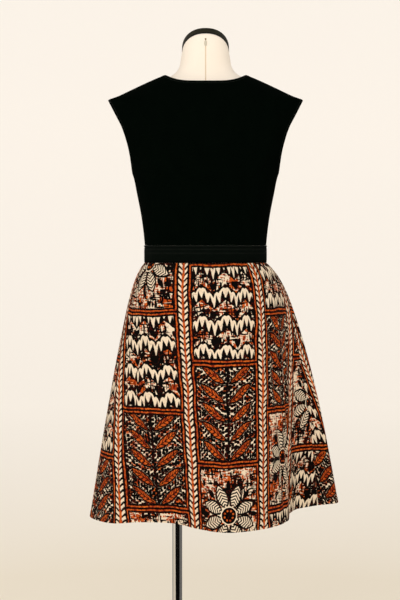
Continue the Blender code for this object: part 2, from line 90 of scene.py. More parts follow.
# height, half width of the sleeve's edge
sleeveEdge = [
    (1.200, 0.1620), (1.225, 0.1640), (1.250, 0.1680),
    (1.296, 0.1820), (1.333, 0.2010), (1.3595, 0.2150),
]


def curveAt(xs, ys, x):
    # the smooth curve through the points, with no overshoot
    xs = np.asarray(xs, float)
    ys = np.asarray(ys, float)
    steps = np.diff(xs)
    rises = np.diff(ys) / steps
    slopes = np.zeros(len(xs))
    for i in range(1, len(rises)):
        if rises[i - 1] * rises[i] > 0:
            before = 2 * steps[i] + steps[i - 1]
            after = steps[i] + 2 * steps[i - 1]
            slopes[i] = (before + after) / (before / rises[i - 1] + after / rises[i])
    slopes[0] = rises[0]
    slopes[-1] = rises[-1]
    x = np.clip(x, xs[0], xs[-1])
    i = np.clip(np.searchsorted(xs, x, side="right") - 1, 0, len(steps) - 1)
    t = (x - xs[i]) / steps[i]
    start = (1 + 2 * t) * (1 - t) ** 2 * ys[i] + t * (1 - t) ** 2 * steps[i] * slopes[i]
    end = t * t * (3 - 2 * t) * ys[i + 1] + t * t * (t - 1) * steps[i] * slopes[i + 1]
    return start + end


def tableAt(table, column, height):
    return curveAt([row[0] for row in table], [row[column] for row in table], height)


def smoothStep(low, high, value):
    t = np.clip((value - low) / (high - low), 0, 1)
    return t * t * (3 - 2 * t)


def ringPoint(angle, halfWidth, back, front):
    depth = np.where(np.cos(angle) >= 0, back, front)
    x = halfWidth * np.sign(np.sin(angle)) * np.abs(np.sin(angle)) ** (2 / waistPower)
    y = -depth * np.sign(np.cos(angle)) * np.abs(np.cos(angle)) ** (2 / waistPower)
    return x, y


def bust(x, height):
    away = (np.abs(x) - bodice["bustHalfSpan"]) ** 2 + (height - bodice["bustHeight"]) ** 2
    return bodice["bustRise"] * np.exp(-away / (2 * bodice["bustSpread"] ** 2))


def bodyPoint(angle, height):
    angle, height = np.broadcast_arrays(np.asarray(angle, float), np.asarray(height, float))
    halfWidth, back, front = (tableAt(bodiceSections, k, height) for k in (1, 2, 3))
    x, y = ringPoint(angle, halfWidth, back, front)
    y = y + np.where(y > 0, bust(x, height) * y / front, 0)
    return np.stack([x, y, height], -1)


def onSide(angle, side):
    return angle if side < 0 else math.pi - angle


def angleAcross(x, height):
    halfWidth = tableAt(bodiceSections, 1, height)
    return np.arcsin(np.minimum(1, x / halfWidth) ** (waistPower / 2))


def necklinePoint(share, side):
    across = np.sin(share * math.pi / 2)
    centre = bodice["neckCentre"][side]
    height = centre + (bodice["neckPoint"] - centre) * across ** bodice["neckCurve"][side]
    return bodyPoint(onSide(angleAcross(bodice["neckHalfWidth"] * across, height), side), height)


def shoulderPoint(share, side):
    height = bodice["neckPoint"] + (sleeveEdge[-1][0] - bodice["neckPoint"]) * share
    return bodyPoint(onSide(math.pi / 2, side), height)


def sleevePoint(share, side):
    rise = sleeveEdge[-1][0] - bodice["underarm"]
    height = bodice["underarm"] + rise * (1 - np.cos(math.pi * share)) / 2
    return bodyPoint(onSide(angleAcross(tableAt(sleeveEdge, 1, height), height), side), height)


def topPoint(share, side):
    neckShare = bodice["neckShare"]
    neck = necklinePoint(np.clip(share / neckShare, 0, 1), side)
    shoulder = shoulderPoint(np.clip((share - neckShare) / (1 - neckShare), 0, 1), side)
    return np.where((share <= neckShare)[..., None], neck, shoulder)


def pressOnBody(point, side):
    # level with itself, on to the bodice's surface
    halfWidth = tableAt(bodiceSections, 1, point[..., 2])
    depth = tableAt(bodiceSections, 2 if side < 0 else 3, point[..., 2])
    across = (np.abs(point[..., 0]) / halfWidth) ** (waistPower / 2)
    along = (np.abs(point[..., 1]) / depth) ** (waistPower / 2)
    return bodyPoint(onSide(np.arctan2(across, along), side), point[..., 2])


def upperPoint(u, v, side):
    # between the underarm level, the centre, the sleeve's edge and the top edge
    def between(start, end, share):
        return start + (end - start) * share[..., None]

    zero = np.zeros_like(u)
    one = np.ones_like(u)
    centre = bodice["neckCentre"][side]
    low = bodyPoint(onSide(u * math.pi / 2, side), bodice["underarm"])
    high = topPoint(u, side)
    inner = bodyPoint(onSide(zero, side), bodice["underarm"] + (centre - bodice["underarm"]) * v)
    outer = sleevePoint(v, side)
    lowCorners = between(bodyPoint(onSide(zero, side), bodice["underarm"]), sleevePoint(zero, side), u)
    highCorners = between(bodyPoint(onSide(zero, side), centre), sleevePoint(one, side), u)
    mixed = between(low, high, v) + between(inner, outer, u) - between(lowCorners, highCorners, v)
    pressed = pressOnBody(mixed, side)
    edge = (u == 0) | (u == 1) | (v == 1)
    return np.where(edge[..., None], mixed, pressed)


def gridNormals(grid, closed=False):
    # the way out of a grid of points: rows go up, and columns go round from -X by the back to +X
    across = np.gradient(grid, axis=1)
    if closed:
        across = (np.roll(grid, -1, axis=1) - np.roll(grid, 1, axis=1)) / 2
    upward = np.gradient(grid, axis=0)
    normal = np.cross(across, upward)
    return normal / np.maximum(np.linalg.norm(normal, axis=-1, keepdims=True), 1e-12)


def gridMesh(name, grid, cloth=None, closed=False, flip=False):
    # quads over a grid of points; cloth holds each point's place on the flat cloth, in metres
    rows, columns = grid.shape[:2]
    index = np.arange(rows * columns).reshape(rows, columns)
    right = np.roll(index, -1, axis=1) if closed else index[:, 1:]
    left = index if closed else index[:, :-1]
    quads = np.stack([left[:-1], right[:-1], right[1:], left[1:]], -1).reshape(-1, 4)
    if flip:
        quads = quads[:, ::-1]
    mesh = bpy.data.meshes.new(name)
    mesh.from_pydata(grid.reshape(-1, 3).tolist(), [], quads.tolist())
    mesh.shade_smooth()
    if cloth is not None:
        attribute = mesh.attributes.new("cloth", "FLOAT_VECTOR", "POINT")
        flat = np.zeros((rows * columns, 3), np.float32)
        flat[:, :cloth.shape[-1]] = cloth.reshape(rows * columns, -1)
        attribute.data.foreach_set("vector", flat.ravel())
    mesh.update()
    return mesh


def addPiece(name, mesh, material, replaces=None):
    piece = bpy.data.objects.new(name, mesh)
    bpy.context.scene.collection.objects.link(piece)
    for one in material if isinstance(material, (list, tuple)) else [material]:
        piece.data.materials.append(one)
    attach(piece, "root")
    if replaces:
        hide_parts(replaces)
    return piece


def thicken(piece, wall, inside=0, edgeRound=0.0004):
    # gives a sheet its wall inwards, with slightly rounded rims
    solid = piece.modifiers.new("wall", "SOLIDIFY")
    solid.thickness = wall
    solid.offset = -1
    solid.material_offset = inside
    rim = piece.modifiers.new("rim", "BEVEL")
    rim.width = edgeRound
    rim.segments = 2
    rim.limit_method = "ANGLE"
    rim.angle_limit = math.radians(60)


# Materials: a Field is a value in a node tree that adds and compares like a number

def feed(tree, value, socket):
    # links a Field to a socket, or sets the socket to a plain number or colour
    if isinstance(value, Field):
        tree.links.new(value.socket, socket)
    else:
        socket.default_value = (*value, 1) if isinstance(value, tuple) else value


def compute(tree, operation, *values):
    node = tree.nodes.new("ShaderNodeMath")
    node.operation = operation
    for socket, value in zip(node.inputs, values):
        feed(tree, value, socket)
    return Field(tree, node.outputs[0])


class Field:
    def __init__(self, tree, socket):
        self.tree = tree
        self.socket = socket

    def does(self, operation, *values):
        return compute(self.tree, operation, self, *values)

    __add__ = __radd__ = partialmethod(does, "ADD")
    __mul__ = __rmul__ = partialmethod(does, "MULTIPLY")
    __sub__ = partialmethod(does, "SUBTRACT")
    __truediv__ = partialmethod(does, "DIVIDE")
    __pow__ = partialmethod(does, "POWER")
    size = partialmethod(does, "ABSOLUTE")
    least = partialmethod(does, "MINIMUM")
    most = partialmethod(does, "MAXIMUM")

    def __rsub__(self, other):
        return compute(self.tree, "SUBTRACT", other, self)

    def below(self, edge, soft=0.0001):
        # 1 where the value is under the edge, 0 where it is over it, with a soft step between
        step = compute(self.tree, "MULTIPLY_ADD", edge - self, 1 / soft, 0.5)
        step.socket.node.use_clamp = True
        return step

    def above(self, edge, soft=0.0001):
        return 1 - self.below(edge, soft)

    def wave(self, length):
        # a triangle wave from 0 at its grooves to 1 at its crests
        return self.does("PINGPONG", length / 2) / (length / 2)

    def sine(self, length):
        return (self * (2 * math.pi / length)).does("SINE")

    def cell(self, length):
        # which repeat a place is in, and how far it is from that repeat's middle
        number = (self / length).does("FLOOR")
        return number, self - (number + 0.5) * length


def threeOf(tree, vector):
    node = tree.nodes.new("ShaderNodeSeparateXYZ")
    tree.links.new(vector, node.inputs[0])
    return [Field(tree, output) for output in node.outputs]


def clothPlace(tree):
    # a point's place on the flat cloth
    node = tree.nodes.new("ShaderNodeAttribute")
    node.attribute_name = "cloth"
    return threeOf(tree, node.outputs["Vector"])


def objectPlace(tree):
    return threeOf(tree, tree.nodes.new("ShaderNodeTexCoord").outputs["Object"])


def textureNode(kind, values):
    # the values are in repeats of the texture
    tree = values[0].tree
    joined = tree.nodes.new("ShaderNodeCombineXYZ")
    for socket, value in zip(joined.inputs, values):
        feed(tree, value, socket)
    node = tree.nodes.new(kind)
    tree.links.new(joined.outputs[0], node.inputs["Vector"])
    return tree, node


def noiseNode(values, detail, roughness):
    tree, node = textureNode("ShaderNodeTexNoise", values)
    node.inputs["Scale"].default_value = 1.0
    node.inputs["Detail"].default_value = detail
    node.inputs["Roughness"].default_value = roughness
    return tree, node


def noise(values, detail=2.0, roughness=0.5):
    # about 0.5 on average
    tree, node = noiseNode(values, detail, roughness)
    return Field(tree, node.outputs[0])


def shaky(x, y, size, repeat, seed=0.0):
    # the same place, moved a little as by an unsteady hand
    tree, node = noiseNode([x / repeat, y / repeat, seed], 1.0, 0.5)
    a, b, c = threeOf(tree, node.outputs[1])
    return x + (a - 0.5) * (2 * size), y + (b - 0.5) * (2 * size)


def dice(values):
    # three random values for each whole number given
    tree, node = textureNode("ShaderNodeTexWhiteNoise", values)
    return threeOf(tree, node.outputs["Color"])


def paint(tree, under, *layers):
    # colours one over another, each where its mask is 1
    for over, mask in layers:
        node = tree.nodes.new("ShaderNodeMix")
        node.data_type = "RGBA"
        feed(tree, under, node.inputs[6])
        feed(tree, over, node.inputs[7])
        feed(tree, mask, node.inputs[0])
        under = Field(tree, node.outputs[2])
    return under


def newMaterial(name, roughness, metallic=0.0, specular=0.5, sheen=0.0):
    material = bpy.data.materials.new(name)
    material.use_nodes = True
    shader = material.node_tree.nodes["Principled BSDF"]
    shader.inputs["Roughness"].default_value = roughness
    shader.inputs["Metallic"].default_value = metallic
    shader.inputs["Specular IOR Level"].default_value = specular
    shader.inputs["Sheen Weight"].default_value = sheen
    return material, material.node_tree, shader


def setLooks(tree, shader, colour, relief, depth, strength):
    feed(tree, colour, shader.inputs["Base Color"])
    node = tree.nodes.new("ShaderNodeBump")
    node.inputs["Distance"].default_value = depth
    node.inputs["Strength"].default_value = strength
    feed(tree, relief, node.inputs["Height"])
    tree.links.new(node.outputs[0], shader.inputs["Normal"])


def threads(x, y, pitch):
    # plain weave: warp and weft rise by turns, and no thread is quite even
    warp = noise([x / pitch, y / (pitch * 18), 3.0], detail=1.0)
    weft = noise([x / (pitch * 18), y / pitch, 7.0], detail=1.0)
    over = (x.sine(2 * pitch) * y.sine(2 * pitch)) * 0.5 + 0.5
    return warp * over + weft * (1 - over)


knit = {
    "dark": (0.0003, 0.0014, 0.0007),
    # painted highlight for the wale crests
    "light": (0.0013, 0.0034, 0.0019),
    "lint": (0.007, 0.008, 0.007),
    "wale": 0.0013,                # from one upright row of stitches to the next
    "course": 0.0011,              # from stitch to stitch up a wale
}


def makeKnit():
    # fine double knit: wales of small slanted stitches, with a little lint; the light colour on the wale
    # crests, in random patches, is painted highlight
    material, tree, shader = newMaterial("blackKnit", 0.95, specular=0.01)
    course = knit["course"]
    x, y, away = clothPlace(tree)
    x, y = shaky(x, y, 0.0003, 0.012)
    crest = x.wave(knit["wale"])
    stitch = (y - crest * (course * 0.6)).sine(course) * 0.5 + 0.5
    fuzz = noise([x / 0.0006, y / 0.0006, 1.0], detail=3.0)
    height = (crest ** 0.5) * (0.65 + 0.35 * stitch) + 0.3 * fuzz
    patches = noise([x / 0.03, y / 0.05, 2.0])
    lint = noise([x / 0.0022, y / 0.0022, 9.0], detail=0.0).above(0.82, 0.02)
    # the light colour on the crests is painted highlight; the lint is real
    colour = paint(tree, knit["dark"], (knit["light"], crest * patches), (knit["lint"], lint * 0.4))
    setLooks(tree, shader, colour, height, 0.0003, 0.6)
    return material


elastic = {
    "dark": (0.0006, 0.0017, 0.0010),
    # painted highlight on the rib crests and the wrapping threads
    "light": (0.0034, 0.0060, 0.0042),
    "rib": 0.0024,
    "thread": 0.0007,
    # painted highlight along the band's top ridge
    "edge": (0.011, 0.013, 0.011),
    "ridgeHighlightPlace": (0.0362, 0.0011),     # its height up the band, half its width
    # painted highlight stripes near the band's top
    "highlightStripe": (0.012, 0.014, 0.012),
    "stripePitch": 0.0085,
    "stripeStart": 0.018,              # how far up the band the stripes begin
    # painted shade along the band's foot, above the skirt's gathers
    "footShade": (0.0008, 0.0014, 0.0010),
    "footHeight": 0.0055,
}


def makeElastic():
    # woven elastic: rubber ribs along it, wrapped by fine upright threads; painted highlights on the rib
    # crests, along the top ridge and in stripes near its top, and painted shade at its foot
    material, tree, shader = newMaterial("charcoalElastic", 0.85, specular=0.03)
    flatX, flatY, away = clothPlace(tree)
    x, y = shaky(flatX, flatY, 0.00015, 0.009)
    ribs = y.wave(elastic["rib"])
    wrap = x.wave(elastic["thread"])
    # random patches that break up the painted highlights
    wearAndLightPatches = noise([x / 0.02, y / 0.004, 4.0], detail=3.0)
    # a painted highlight line along the band's top ridge
    ridgeHighlightHeight, ridgeHighlightHalf = elastic["ridgeHighlightPlace"]
    edge = (flatY - ridgeHighlightHeight).size().below(ridgeHighlightHalf, 0.0008)
    # painted highlight stripes, colour only
    highlightStripes = (flatY + 0.0005).wave(elastic["stripePitch"]).above(0.70, 0.2)
    highlightStripes = highlightStripes * flatY.above(elastic["stripeStart"], 0.008)
    # painted shade at the band's foot
    footShade = flatY.below(elastic["footHeight"], 0.003)
    colour = paint(tree, elastic["dark"], (elastic["light"], ribs * wearAndLightPatches + wrap * 0.2),
                   (elastic["edge"], edge * wearAndLightPatches), (elastic["highlightStripe"], highlightStripes * wearAndLightPatches * 0.7),
                   (elastic["footShade"], footShade * 0.8))
    setLooks(tree, shader, colour, (ribs ** 0.6) * 0.7 + wrap * 0.3, 0.0004, 0.8)
    return material


def makeThread(name, colour):
    material, tree, shader = newMaterial(name, 0.7, specular=0.3, sheen=0.1)
    ply = noise([part / 0.0005 for part in objectPlace(tree)])
    dark = tuple(0.55 * part for part in colour)
    setLooks(tree, shader, paint(tree, dark, (colour, ply)), ply, 0.0001, 0.5)
    return material


canvas = {
    "dark": (0.95, 0.84, 0.72),
    "light": (0.99, 0.93, 0.84),
    "thread": 0.0006,
    # the seam line's colour: its thread, and painted shade in the groove
    "seam": (0.66, 0.50, 0.32),
    "seamHalf": 0.0012,            # half the width of the seam's dark line, partly thread and partly painted shade
    "seamTop": 1.4480,
}


def makeCanvas():
    # off-white canvas, with a pressed seam down the back and the front; the seam's dark line is partly its
    # thread and partly painted shade in its groove
    material, tree, shader = newMaterial("formCanvas", 0.9, specular=0.2, sheen=0.05)
    x, y, toSeam = clothPlace(tree)
    weave = threads(x, y, canvas["thread"])
    stain = noise([x / 0.09, y / 0.12, 5.0], detail=4.0)
    seam = toSeam.below(canvas["seamHalf"], 0.0006) * y.below(canvas["seamTop"], 0.0008)
    # random patches in the seam line's thread and painted shade
    wearAndLightPatches = 0.55 + 0.4 * noise([x / 0.001, y / 0.006, 2.0])
    colour = paint(tree, canvas["dark"], (canvas["light"], weave * 0.4 + stain * 0.6),
                   (canvas["seam"], seam * wearAndLightPatches))
    setLooks(tree, shader, colour, weave, 0.0003, 0.7)
    return material


capPaint = {
    "dark": (0.002, 0.002, 0.001),
    "light": (0.024, 0.023, 0.010),
    # painted shade at the cap's foot, where it sits on the neck
    "footShade": (0.0015, 0.0015, 0.001),
    "footHeight": 0.0030,
}


def makeCapPaint():
    # brushed black-brown paint over turned wood; the dark band at its foot is painted shade
    material, tree, shader = newMaterial("capPaint", 0.5, specular=0.15)
    around, up, away = clothPlace(tree)
    streak = noise([around / 0.05, up / 0.0012, 1.0], detail=4.0, roughness=0.65)
    colour = paint(tree, capPaint["dark"], (capPaint["light"], streak.above(0.48, 0.25)),
                   (capPaint["footShade"], up.below(capPaint["footHeight"], 0.0025) * 0.9))
    setLooks(tree, shader, colour, streak, 0.0004, 0.4)
    return material


def makeMetal(name, colour, roughness, brushing):
    # brushing gives the length of a scratch along x, y and z
    material, tree, shader = newMaterial(name, roughness, metallic=1.0)
    x, y, z = objectPlace(tree)
    scratch = noise([x / brushing[0], y / brushing[1], z / brushing[2]], detail=5.0, roughness=0.7)
    smudge = noise([x / 0.04, y / 0.04, z / 0.06], detail=3.0)
    feed(tree, roughness * (0.7 + 0.6 * smudge), shader.inputs["Roughness"])
    dark = tuple(0.85 * part for part in colour)
    setLooks(tree, shader, paint(tree, dark, (colour, scratch)), scratch, 0.0001, 0.15)
    return material


board = {"dark": (0.012, 0.010, 0.008), "light": (0.06, 0.05, 0.04)}


def makeBoard():
    # black stained plywood
    material, tree, shader = newMaterial("stainedBoard", 0.6, specular=0.4)
    x, y, z = objectPlace(tree)
    grain = noise([x / 0.004, y / 0.09, z / 0.004], detail=5.0, roughness=0.6)
    setLooks(tree, shader, paint(tree, board["dark"], (board["light"], grain)), grain, 0.0004, 0.5)
    return material


# The skirt's print: staggered panels of flowers, sprigs and zigzags, in rust, cream and black

batik = {
    "column": 0.176,            # from panel to panel
    "row": 0.212,
    "strip": 0.013,             # half the width of the ladder strip between the columns
    "rung": 0.0125,             # from rung to rung of the ladder
    "frame": 0.0075,            # rust frame inside each panel's outline
    "ink": 0.0021,              # half the width of an outline
    "petal": (0.0385, 0.0235, 0.0125),      # its middle from the heart's, half its length, half its width
    "petalLeaf": (0.0560, 0.0115, 0.0050),  # the same for the leaves between the petals
    "heart": 0.0155,
    "sprigLeaf": (0.030, 0.0270, 0.0105),   # the same, from the stem
    "sprigStep": 0.040,         # from one pair of leaves to the next
    "zigzag": (0.046, 0.020, 0.030),        # length and rise of a chevron, height of a band
    "tooth": 0.0115,
    "dash": (0.0062, 0.0098, 0.0080, 0.0038),   # its cell's width and height, its length, half its width
    "creamFlecks": 0.54,        # how much of the rust the flecks take
    "blackFlecks": 0.52,
    "cream": (0.84, 0.66, 0.47),
    "paleCream": (0.95, 0.82, 0.64),
    "rust": (0.45, 0.058, 0.011),
    "brightRust": (0.72, 0.145, 0.018),
    "deepRust": (0.18, 0.010, 0.003),
    "black": (0.0026, 0.0016, 0.0013),
}


def lens(x, y, length, width):
    # the distance from the outline of a pointed leaf that lies along x: under 0 inside it
    return y.size() - width * (1 - (x / length) * (x / length))


def spoke(radius, angle, turns):
    # along and across the nearest of eight spokes
    sector = math.pi / 4
    fold = (angle + turns * sector).cell(sector)[1]
    return radius * fold.does("COSINE"), radius * fold.does("SINE")


def flecks(x, y, seed, share):
    # dry brush strokes, both up and across
    upright = noise([x / 0.0040, y / 0.0190, seed], detail=1.0)
    level = noise([x / 0.0190, y / 0.0040, seed + 5.0], detail=1.0)
    patch = noise([x / 0.045, y / 0.045, seed + 9.0], detail=1.0)
    edge = 0.66 - share * (patch - 0.30)
    return upright.most(level).above(edge, 0.012)


def dashes(x, y, seed, pitchX, pitchY, length, width):
    # short pointed brush marks, one in each small cell, leaning as their neighbours do
    column, px = x.cell(pitchX)
    row, py = (y + column * (pitchY * 0.43)).cell(pitchY)
    a, b, c = dice([column, row, seed])
    px = px + (a - 0.5) * (pitchX * 0.5)
    py = py + (b - 0.5) * (pitchY * 0.5)
    flow = noise([x / 0.05, y / 0.05, seed], detail=0.0)
    angle = (flow - 0.5) * 7.0 + (c - 0.5) * 1.2 + 1.0
    co, si = angle.does("COSINE"), angle.does("SINE")
    return lens(px * co + py * si, py * co - px * si, length, width).below(0.0, 0.0005)


def makeBatikGroup():
    tree = bpy.data.node_groups.new("batik", "ShaderNodeTree")
    tree.interface.new_socket("Colour", in_out="OUTPUT", socket_type="NodeSocketColor")
    flatX, flatY, away = clothPlace(tree)
    x, y = shaky(flatX, flatY, 0.0040, 0.050, 1.0)
    x, y = shaky(x, y, 0.0009, 0.007, 2.0)
    ragged = noise([x / 0.004, y / 0.004, 3.0]) * 1.3 + 0.35
    ink, black = batik["ink"], batik["black"]

    def inked(distance, half=ink):
        # a ragged line where the distance is near 0
        return distance.size().below(half * ragged, 0.0005)

    column, px = x.cell(batik["column"])
    row, py = (y + column * (batik["row"] * 0.5)).cell(batik["row"])
    kind = ((row + column * 2.0 + 300.0) / 3.0).does("FRACT") * 3.0
    mirrorX = px.size()

    # grounds
    tone = noise([x / 0.012, y / 0.020, 4.0], detail=4.0, roughness=0.6)
    mottle = noise([x / 0.0060, y / 0.0100, 6.0], detail=3.0).above(0.54, 0.10)
    rusty = noise([x / 0.018, y / 0.018, 8.0]).above(0.54, 0.06)
    marks = dashes(x, y, 21.0, *batik["dash"])
    rust = paint(tree, batik["rust"], (batik["brightRust"], tone.above(0.5, 0.25)),
                 (batik["deepRust"], mottle * 0.9))
    cream = paint(tree, batik["cream"], (batik["paleCream"], tone))
    rustGround = paint(tree, rust, (cream, flecks(x, y, 11.0, batik["creamFlecks"])),
                       (black, flecks(x, y, 31.0, batik["blackFlecks"])))
    creamGround = paint(tree, cream, (rust, rusty), (black, marks))

    # flower panel: eight hatched petals round a dotted heart, small leaves between them
    fy = py * 0.92
    radius = (px * px + fy * fy) ** 0.5
    angle = fy.does("ARCTAN2", px)
    along, across = spoke(radius, angle, 8)
    alongLeaf, acrossLeaf = spoke(radius, angle, 8.5)
    petal = lens(along - batik["petal"][0], across, *batik["petal"][1:])
    leaf = lens(alongLeaf - batik["petalLeaf"][0], acrossLeaf, *batik["petalLeaf"][1:])
    hatch = (along + across.size() * 0.8).wave(0.0064).above(0.52, 0.12)
    heart = radius - batik["heart"]
    dots = ((along - 0.0095) * (along - 0.0095) + across * across).below(0.0000042, 0.000002)
    flower = paint(tree, rustGround, (cream, petal.below(0.0005)), (black, petal.below(-0.0018) * hatch),
                   (black, inked(petal)), (black, leaf.below(0.0)), (cream, heart.below(0.0022)),
                   (black, heart.below(0.0)), (rust, dots))

    # sprig panel: rust leaves in pairs up a stem
    leafX = mirrorX - batik["sprigLeaf"][0]
    leafY = (py - mirrorX * 0.75).cell(batik["sprigStep"])[1]
    blade = lens(leafX, leafY, *batik["sprigLeaf"][1:])
    veins = (leafX - leafY.size() * 0.9).wave(0.0072).above(0.70, 0.1)
    sprig = paint(tree, creamGround, (cream, blade.below(0.0022)), (rust, blade.below(0.0)),
                  (black, blade.below(-0.002) * veins), (black, inked(blade)),
                  (black, inked(leafY, 0.0009) * blade.below(-0.001)), (black, inked(px, 0.0024)))

    # zigzag panel: rust chevrons between cream ones filled with black triangles and spots
    chevron, rise, high = batik["zigzag"]
    number, bandY = (py + px.wave(chevron) * rise).cell(high)
    pale = (number / 2.0).does("FRACT").above(0.25)
    tooth = px.wave(batik["tooth"])
    teeth = (bandY + high / 2 - tooth * 0.0225).least(high / 2 - bandY - (1 - tooth) * 0.0080)
    spotX = px.cell(chevron)[1]
    spots = ((spotX * spotX + bandY * bandY) ** 0.5).below(0.0084, 0.0008)
    zigzag = paint(tree, rustGround, (cream, pale), (black, teeth.below(0.0, 0.0006) * pale),
                   (black, spots * (1 - pale)), (black, inked(bandY.size() - high / 2, ink * 1.2)))

    # frames, the ladder strip between the columns, wax crackle, and ink that took unevenly
    toSide = (batik["column"] / 2 - batik["strip"]) - mirrorX
    toEnd = batik["row"] / 2 - py.size()
    border = toSide.least(toEnd)
    ladder = (y + mirrorX.wave(batik["strip"] * 2) * 0.011).cell(batik["rung"])[1]
    strip = paint(tree, cream, (black, inked(ladder, 0.0027)),
                  (rust, inked(mirrorX - batik["column"] / 2, 0.0028)))
    crackle = noise([x / 0.03, y / 0.03, 15.0], detail=4.0, roughness=0.6)
    uneven = noise([flatX / 0.0014, flatY / 0.0014, 17.0])
    whole = paint(tree, zigzag, (flower, kind.below(0.5)), (sprig, kind.above(0.5) * kind.below(1.5)),
                  (rust, border.below(batik["frame"])), (black, inked(border - batik["frame"])),
                  (strip, toSide.below(0.0)), (black, inked(toSide, ink * 1.1)),
                  (black, inked(toEnd, ink * 1.1) * toSide.above(0.0)),
                  (batik["deepRust"], inked(crackle - 0.5, 0.006) * 0.35),
                  (batik["cream"], uneven.above(0.78, 0.04) * 0.25))
    output = tree.nodes.new("NodeGroupOutput")
    feed(tree, whole, output.inputs[0])
    return tree


cotton = {
    "thread": 0.0004,
    "reverse": (0.60, 0.42, 0.30),
    "threadShade": (0.01, 0.005, 0.003),   # painted shade between the threads
}


def makePrint(name, group, fade):
    # fade is how pale the print is, as on the cloth's wrong side
    material, tree, shader = newMaterial(name, 0.88, specular=0.06)
    design = tree.nodes.new("ShaderNodeGroup")
    design.node_tree = group
    x, y, away = clothPlace(tree)
    weave = threads(x, y, cotton["thread"])
    # the dark between the threads is painted shade
    colour = paint(tree, Field(tree, design.outputs[0]), (cotton["reverse"], fade),
                   (cotton["threadShade"], (1 - weave) * 0.10))
    setLooks(tree, shader, colour, weave, 0.00025, 0.6)
    return material


knitMaterial = makeKnit()
elasticMaterial = makeElastic()
canvasMaterial = makeCanvas()
capMaterial = makeCapPaint()
chromeMaterial = makeMetal("poleChrome", (0.74, 0.73, 0.71), 0.10, (0.004, 0.004, 0.30))
steelMaterial = makeMetal("standSteel", (0.42, 0.415, 0.40), 0.32, (0.05, 0.0008, 0.02))
boardMaterial = makeBoard()
batikGroup = makeBatikGroup()
printMaterial = makePrint("batikCotton", batikGroup, 0.0)
reverseMaterial = makePrint("batikCottonReverse", batikGroup, 0.55)
blackThread = makeThread("blackThread", (0.012, 0.012, 0.011))
rustThread = makeThread("rustThread", (0.22, 0.06, 0.025))
tapeMaterial = makeThread("paleTape", (0.80, 0.74, 0.60))
tackMaterial = makeMetal("tackBrass", (0.30, 0.24, 0.12), 0.35, (0.002, 0.002, 0.002))
print("materials made")


# Bodice

def edgeDistance(grid, edge):
    # how far each point of a grid lies from a line of points
    points = grid.reshape(-1, 3)
    found = np.full(len(points), 9.0)
    for start in range(0, len(points), 4000):
        part = points[start:start + 4000]
        gaps = np.linalg.norm(part[:, None] - edge[None], axis=-1)
        found[start:start + 4000] = gaps.min(axis=1)
    return found.reshape(grid.shape[:2])


def spacedShares(count, tight, strip):
    # shares from 0 to 1: even ones, then a strip before 1 with the others closer and closer together
    near = 1 - strip * (1 - np.arange(tight + 1) / tight) ** 1.6
    return np.concatenate([np.linspace(0, 1 - strip, count - tight, endpoint=False), near])


def crossing(grid, away, target, rows):
    # the line of points where a grid's distance from an edge falls to the target, one for each row or column
    found = []
    for points, distances in zip(grid, away) if rows else zip(grid.swapaxes(0, 1), away.T):
        hits = np.nonzero((distances[:-1] >= target) & (distances[1:] < target))[0]
        if len(hits):
            i = hits[-1]
            share = (distances[i] - target) / (distances[i] - distances[i + 1])
            found.append(points[i] + (points[i + 1] - points[i]) * share)
    return np.array(found)


def evenly(points, step):
    # a line resampled at even steps; values after the third go with their points
    lengths = np.concatenate([[0.0], np.cumsum(np.linalg.norm(np.diff(points[:, :3], axis=0), axis=1))])
    places = np.linspace(0, lengths[-1], max(2, int(lengths[-1] / step) + 1))
    return np.stack([np.interp(places, lengths, points[:, k]) for k in range(points.shape[1])], -1)


def unit(vector):
    return vector / np.linalg.norm(vector)


def stitchMesh(name, lines):
    # rows of short threads that dive into the cloth at both ends; each line has points and ways out
    sides = 5
    rise = np.array([-0.9, 0.35, 0.6, 0.35, -0.9]) * topStitch["radius"]
    thick = np.array([0.5, 0.95, 1.0, 0.95, 0.5]) * topStitch["radius"]
    around = np.linspace(0, 2 * math.pi, sides, endpoint=False)
    verts = []
    faces = []
    for seam in lines:
        fine = evenly(seam, topStitch["length"] / 4)
        for start in range(0, len(fine) - 4, 5):
            path = fine[start:start + 5, :3]
            up = unit(fine[start + 2, 3:])
            side = unit(np.cross(path[-1] - path[0], up))
            first = len(verts)
            for k in range(5):
                middle = path[k] + up * rise[k]
                verts += [tuple(middle + (side * math.cos(a) + up * math.sin(a)) * thick[k]) for a in around]
            for near in range(first, first + 4 * sides, sides):
                for i in range(sides):
                    j = (i + 1) % sides
                    faces.append((near + i, near + sides + i, near + sides + j, near + j))
            faces.append(tuple(range(first, first + sides)))
            faces.append(tuple(range(first + 4 * sides, first + 5 * sides))[::-1])
    mesh = bpy.data.meshes.new(name)
    mesh.from_pydata(verts, [], faces)
    mesh.shade_smooth()
    return mesh


topStitch = {
    "length": 0.0030,
    "radius": 0.00028,
    "inTurning": 0.8,              # where across a turning the bodice's stitches lie
}
stitchLines = []


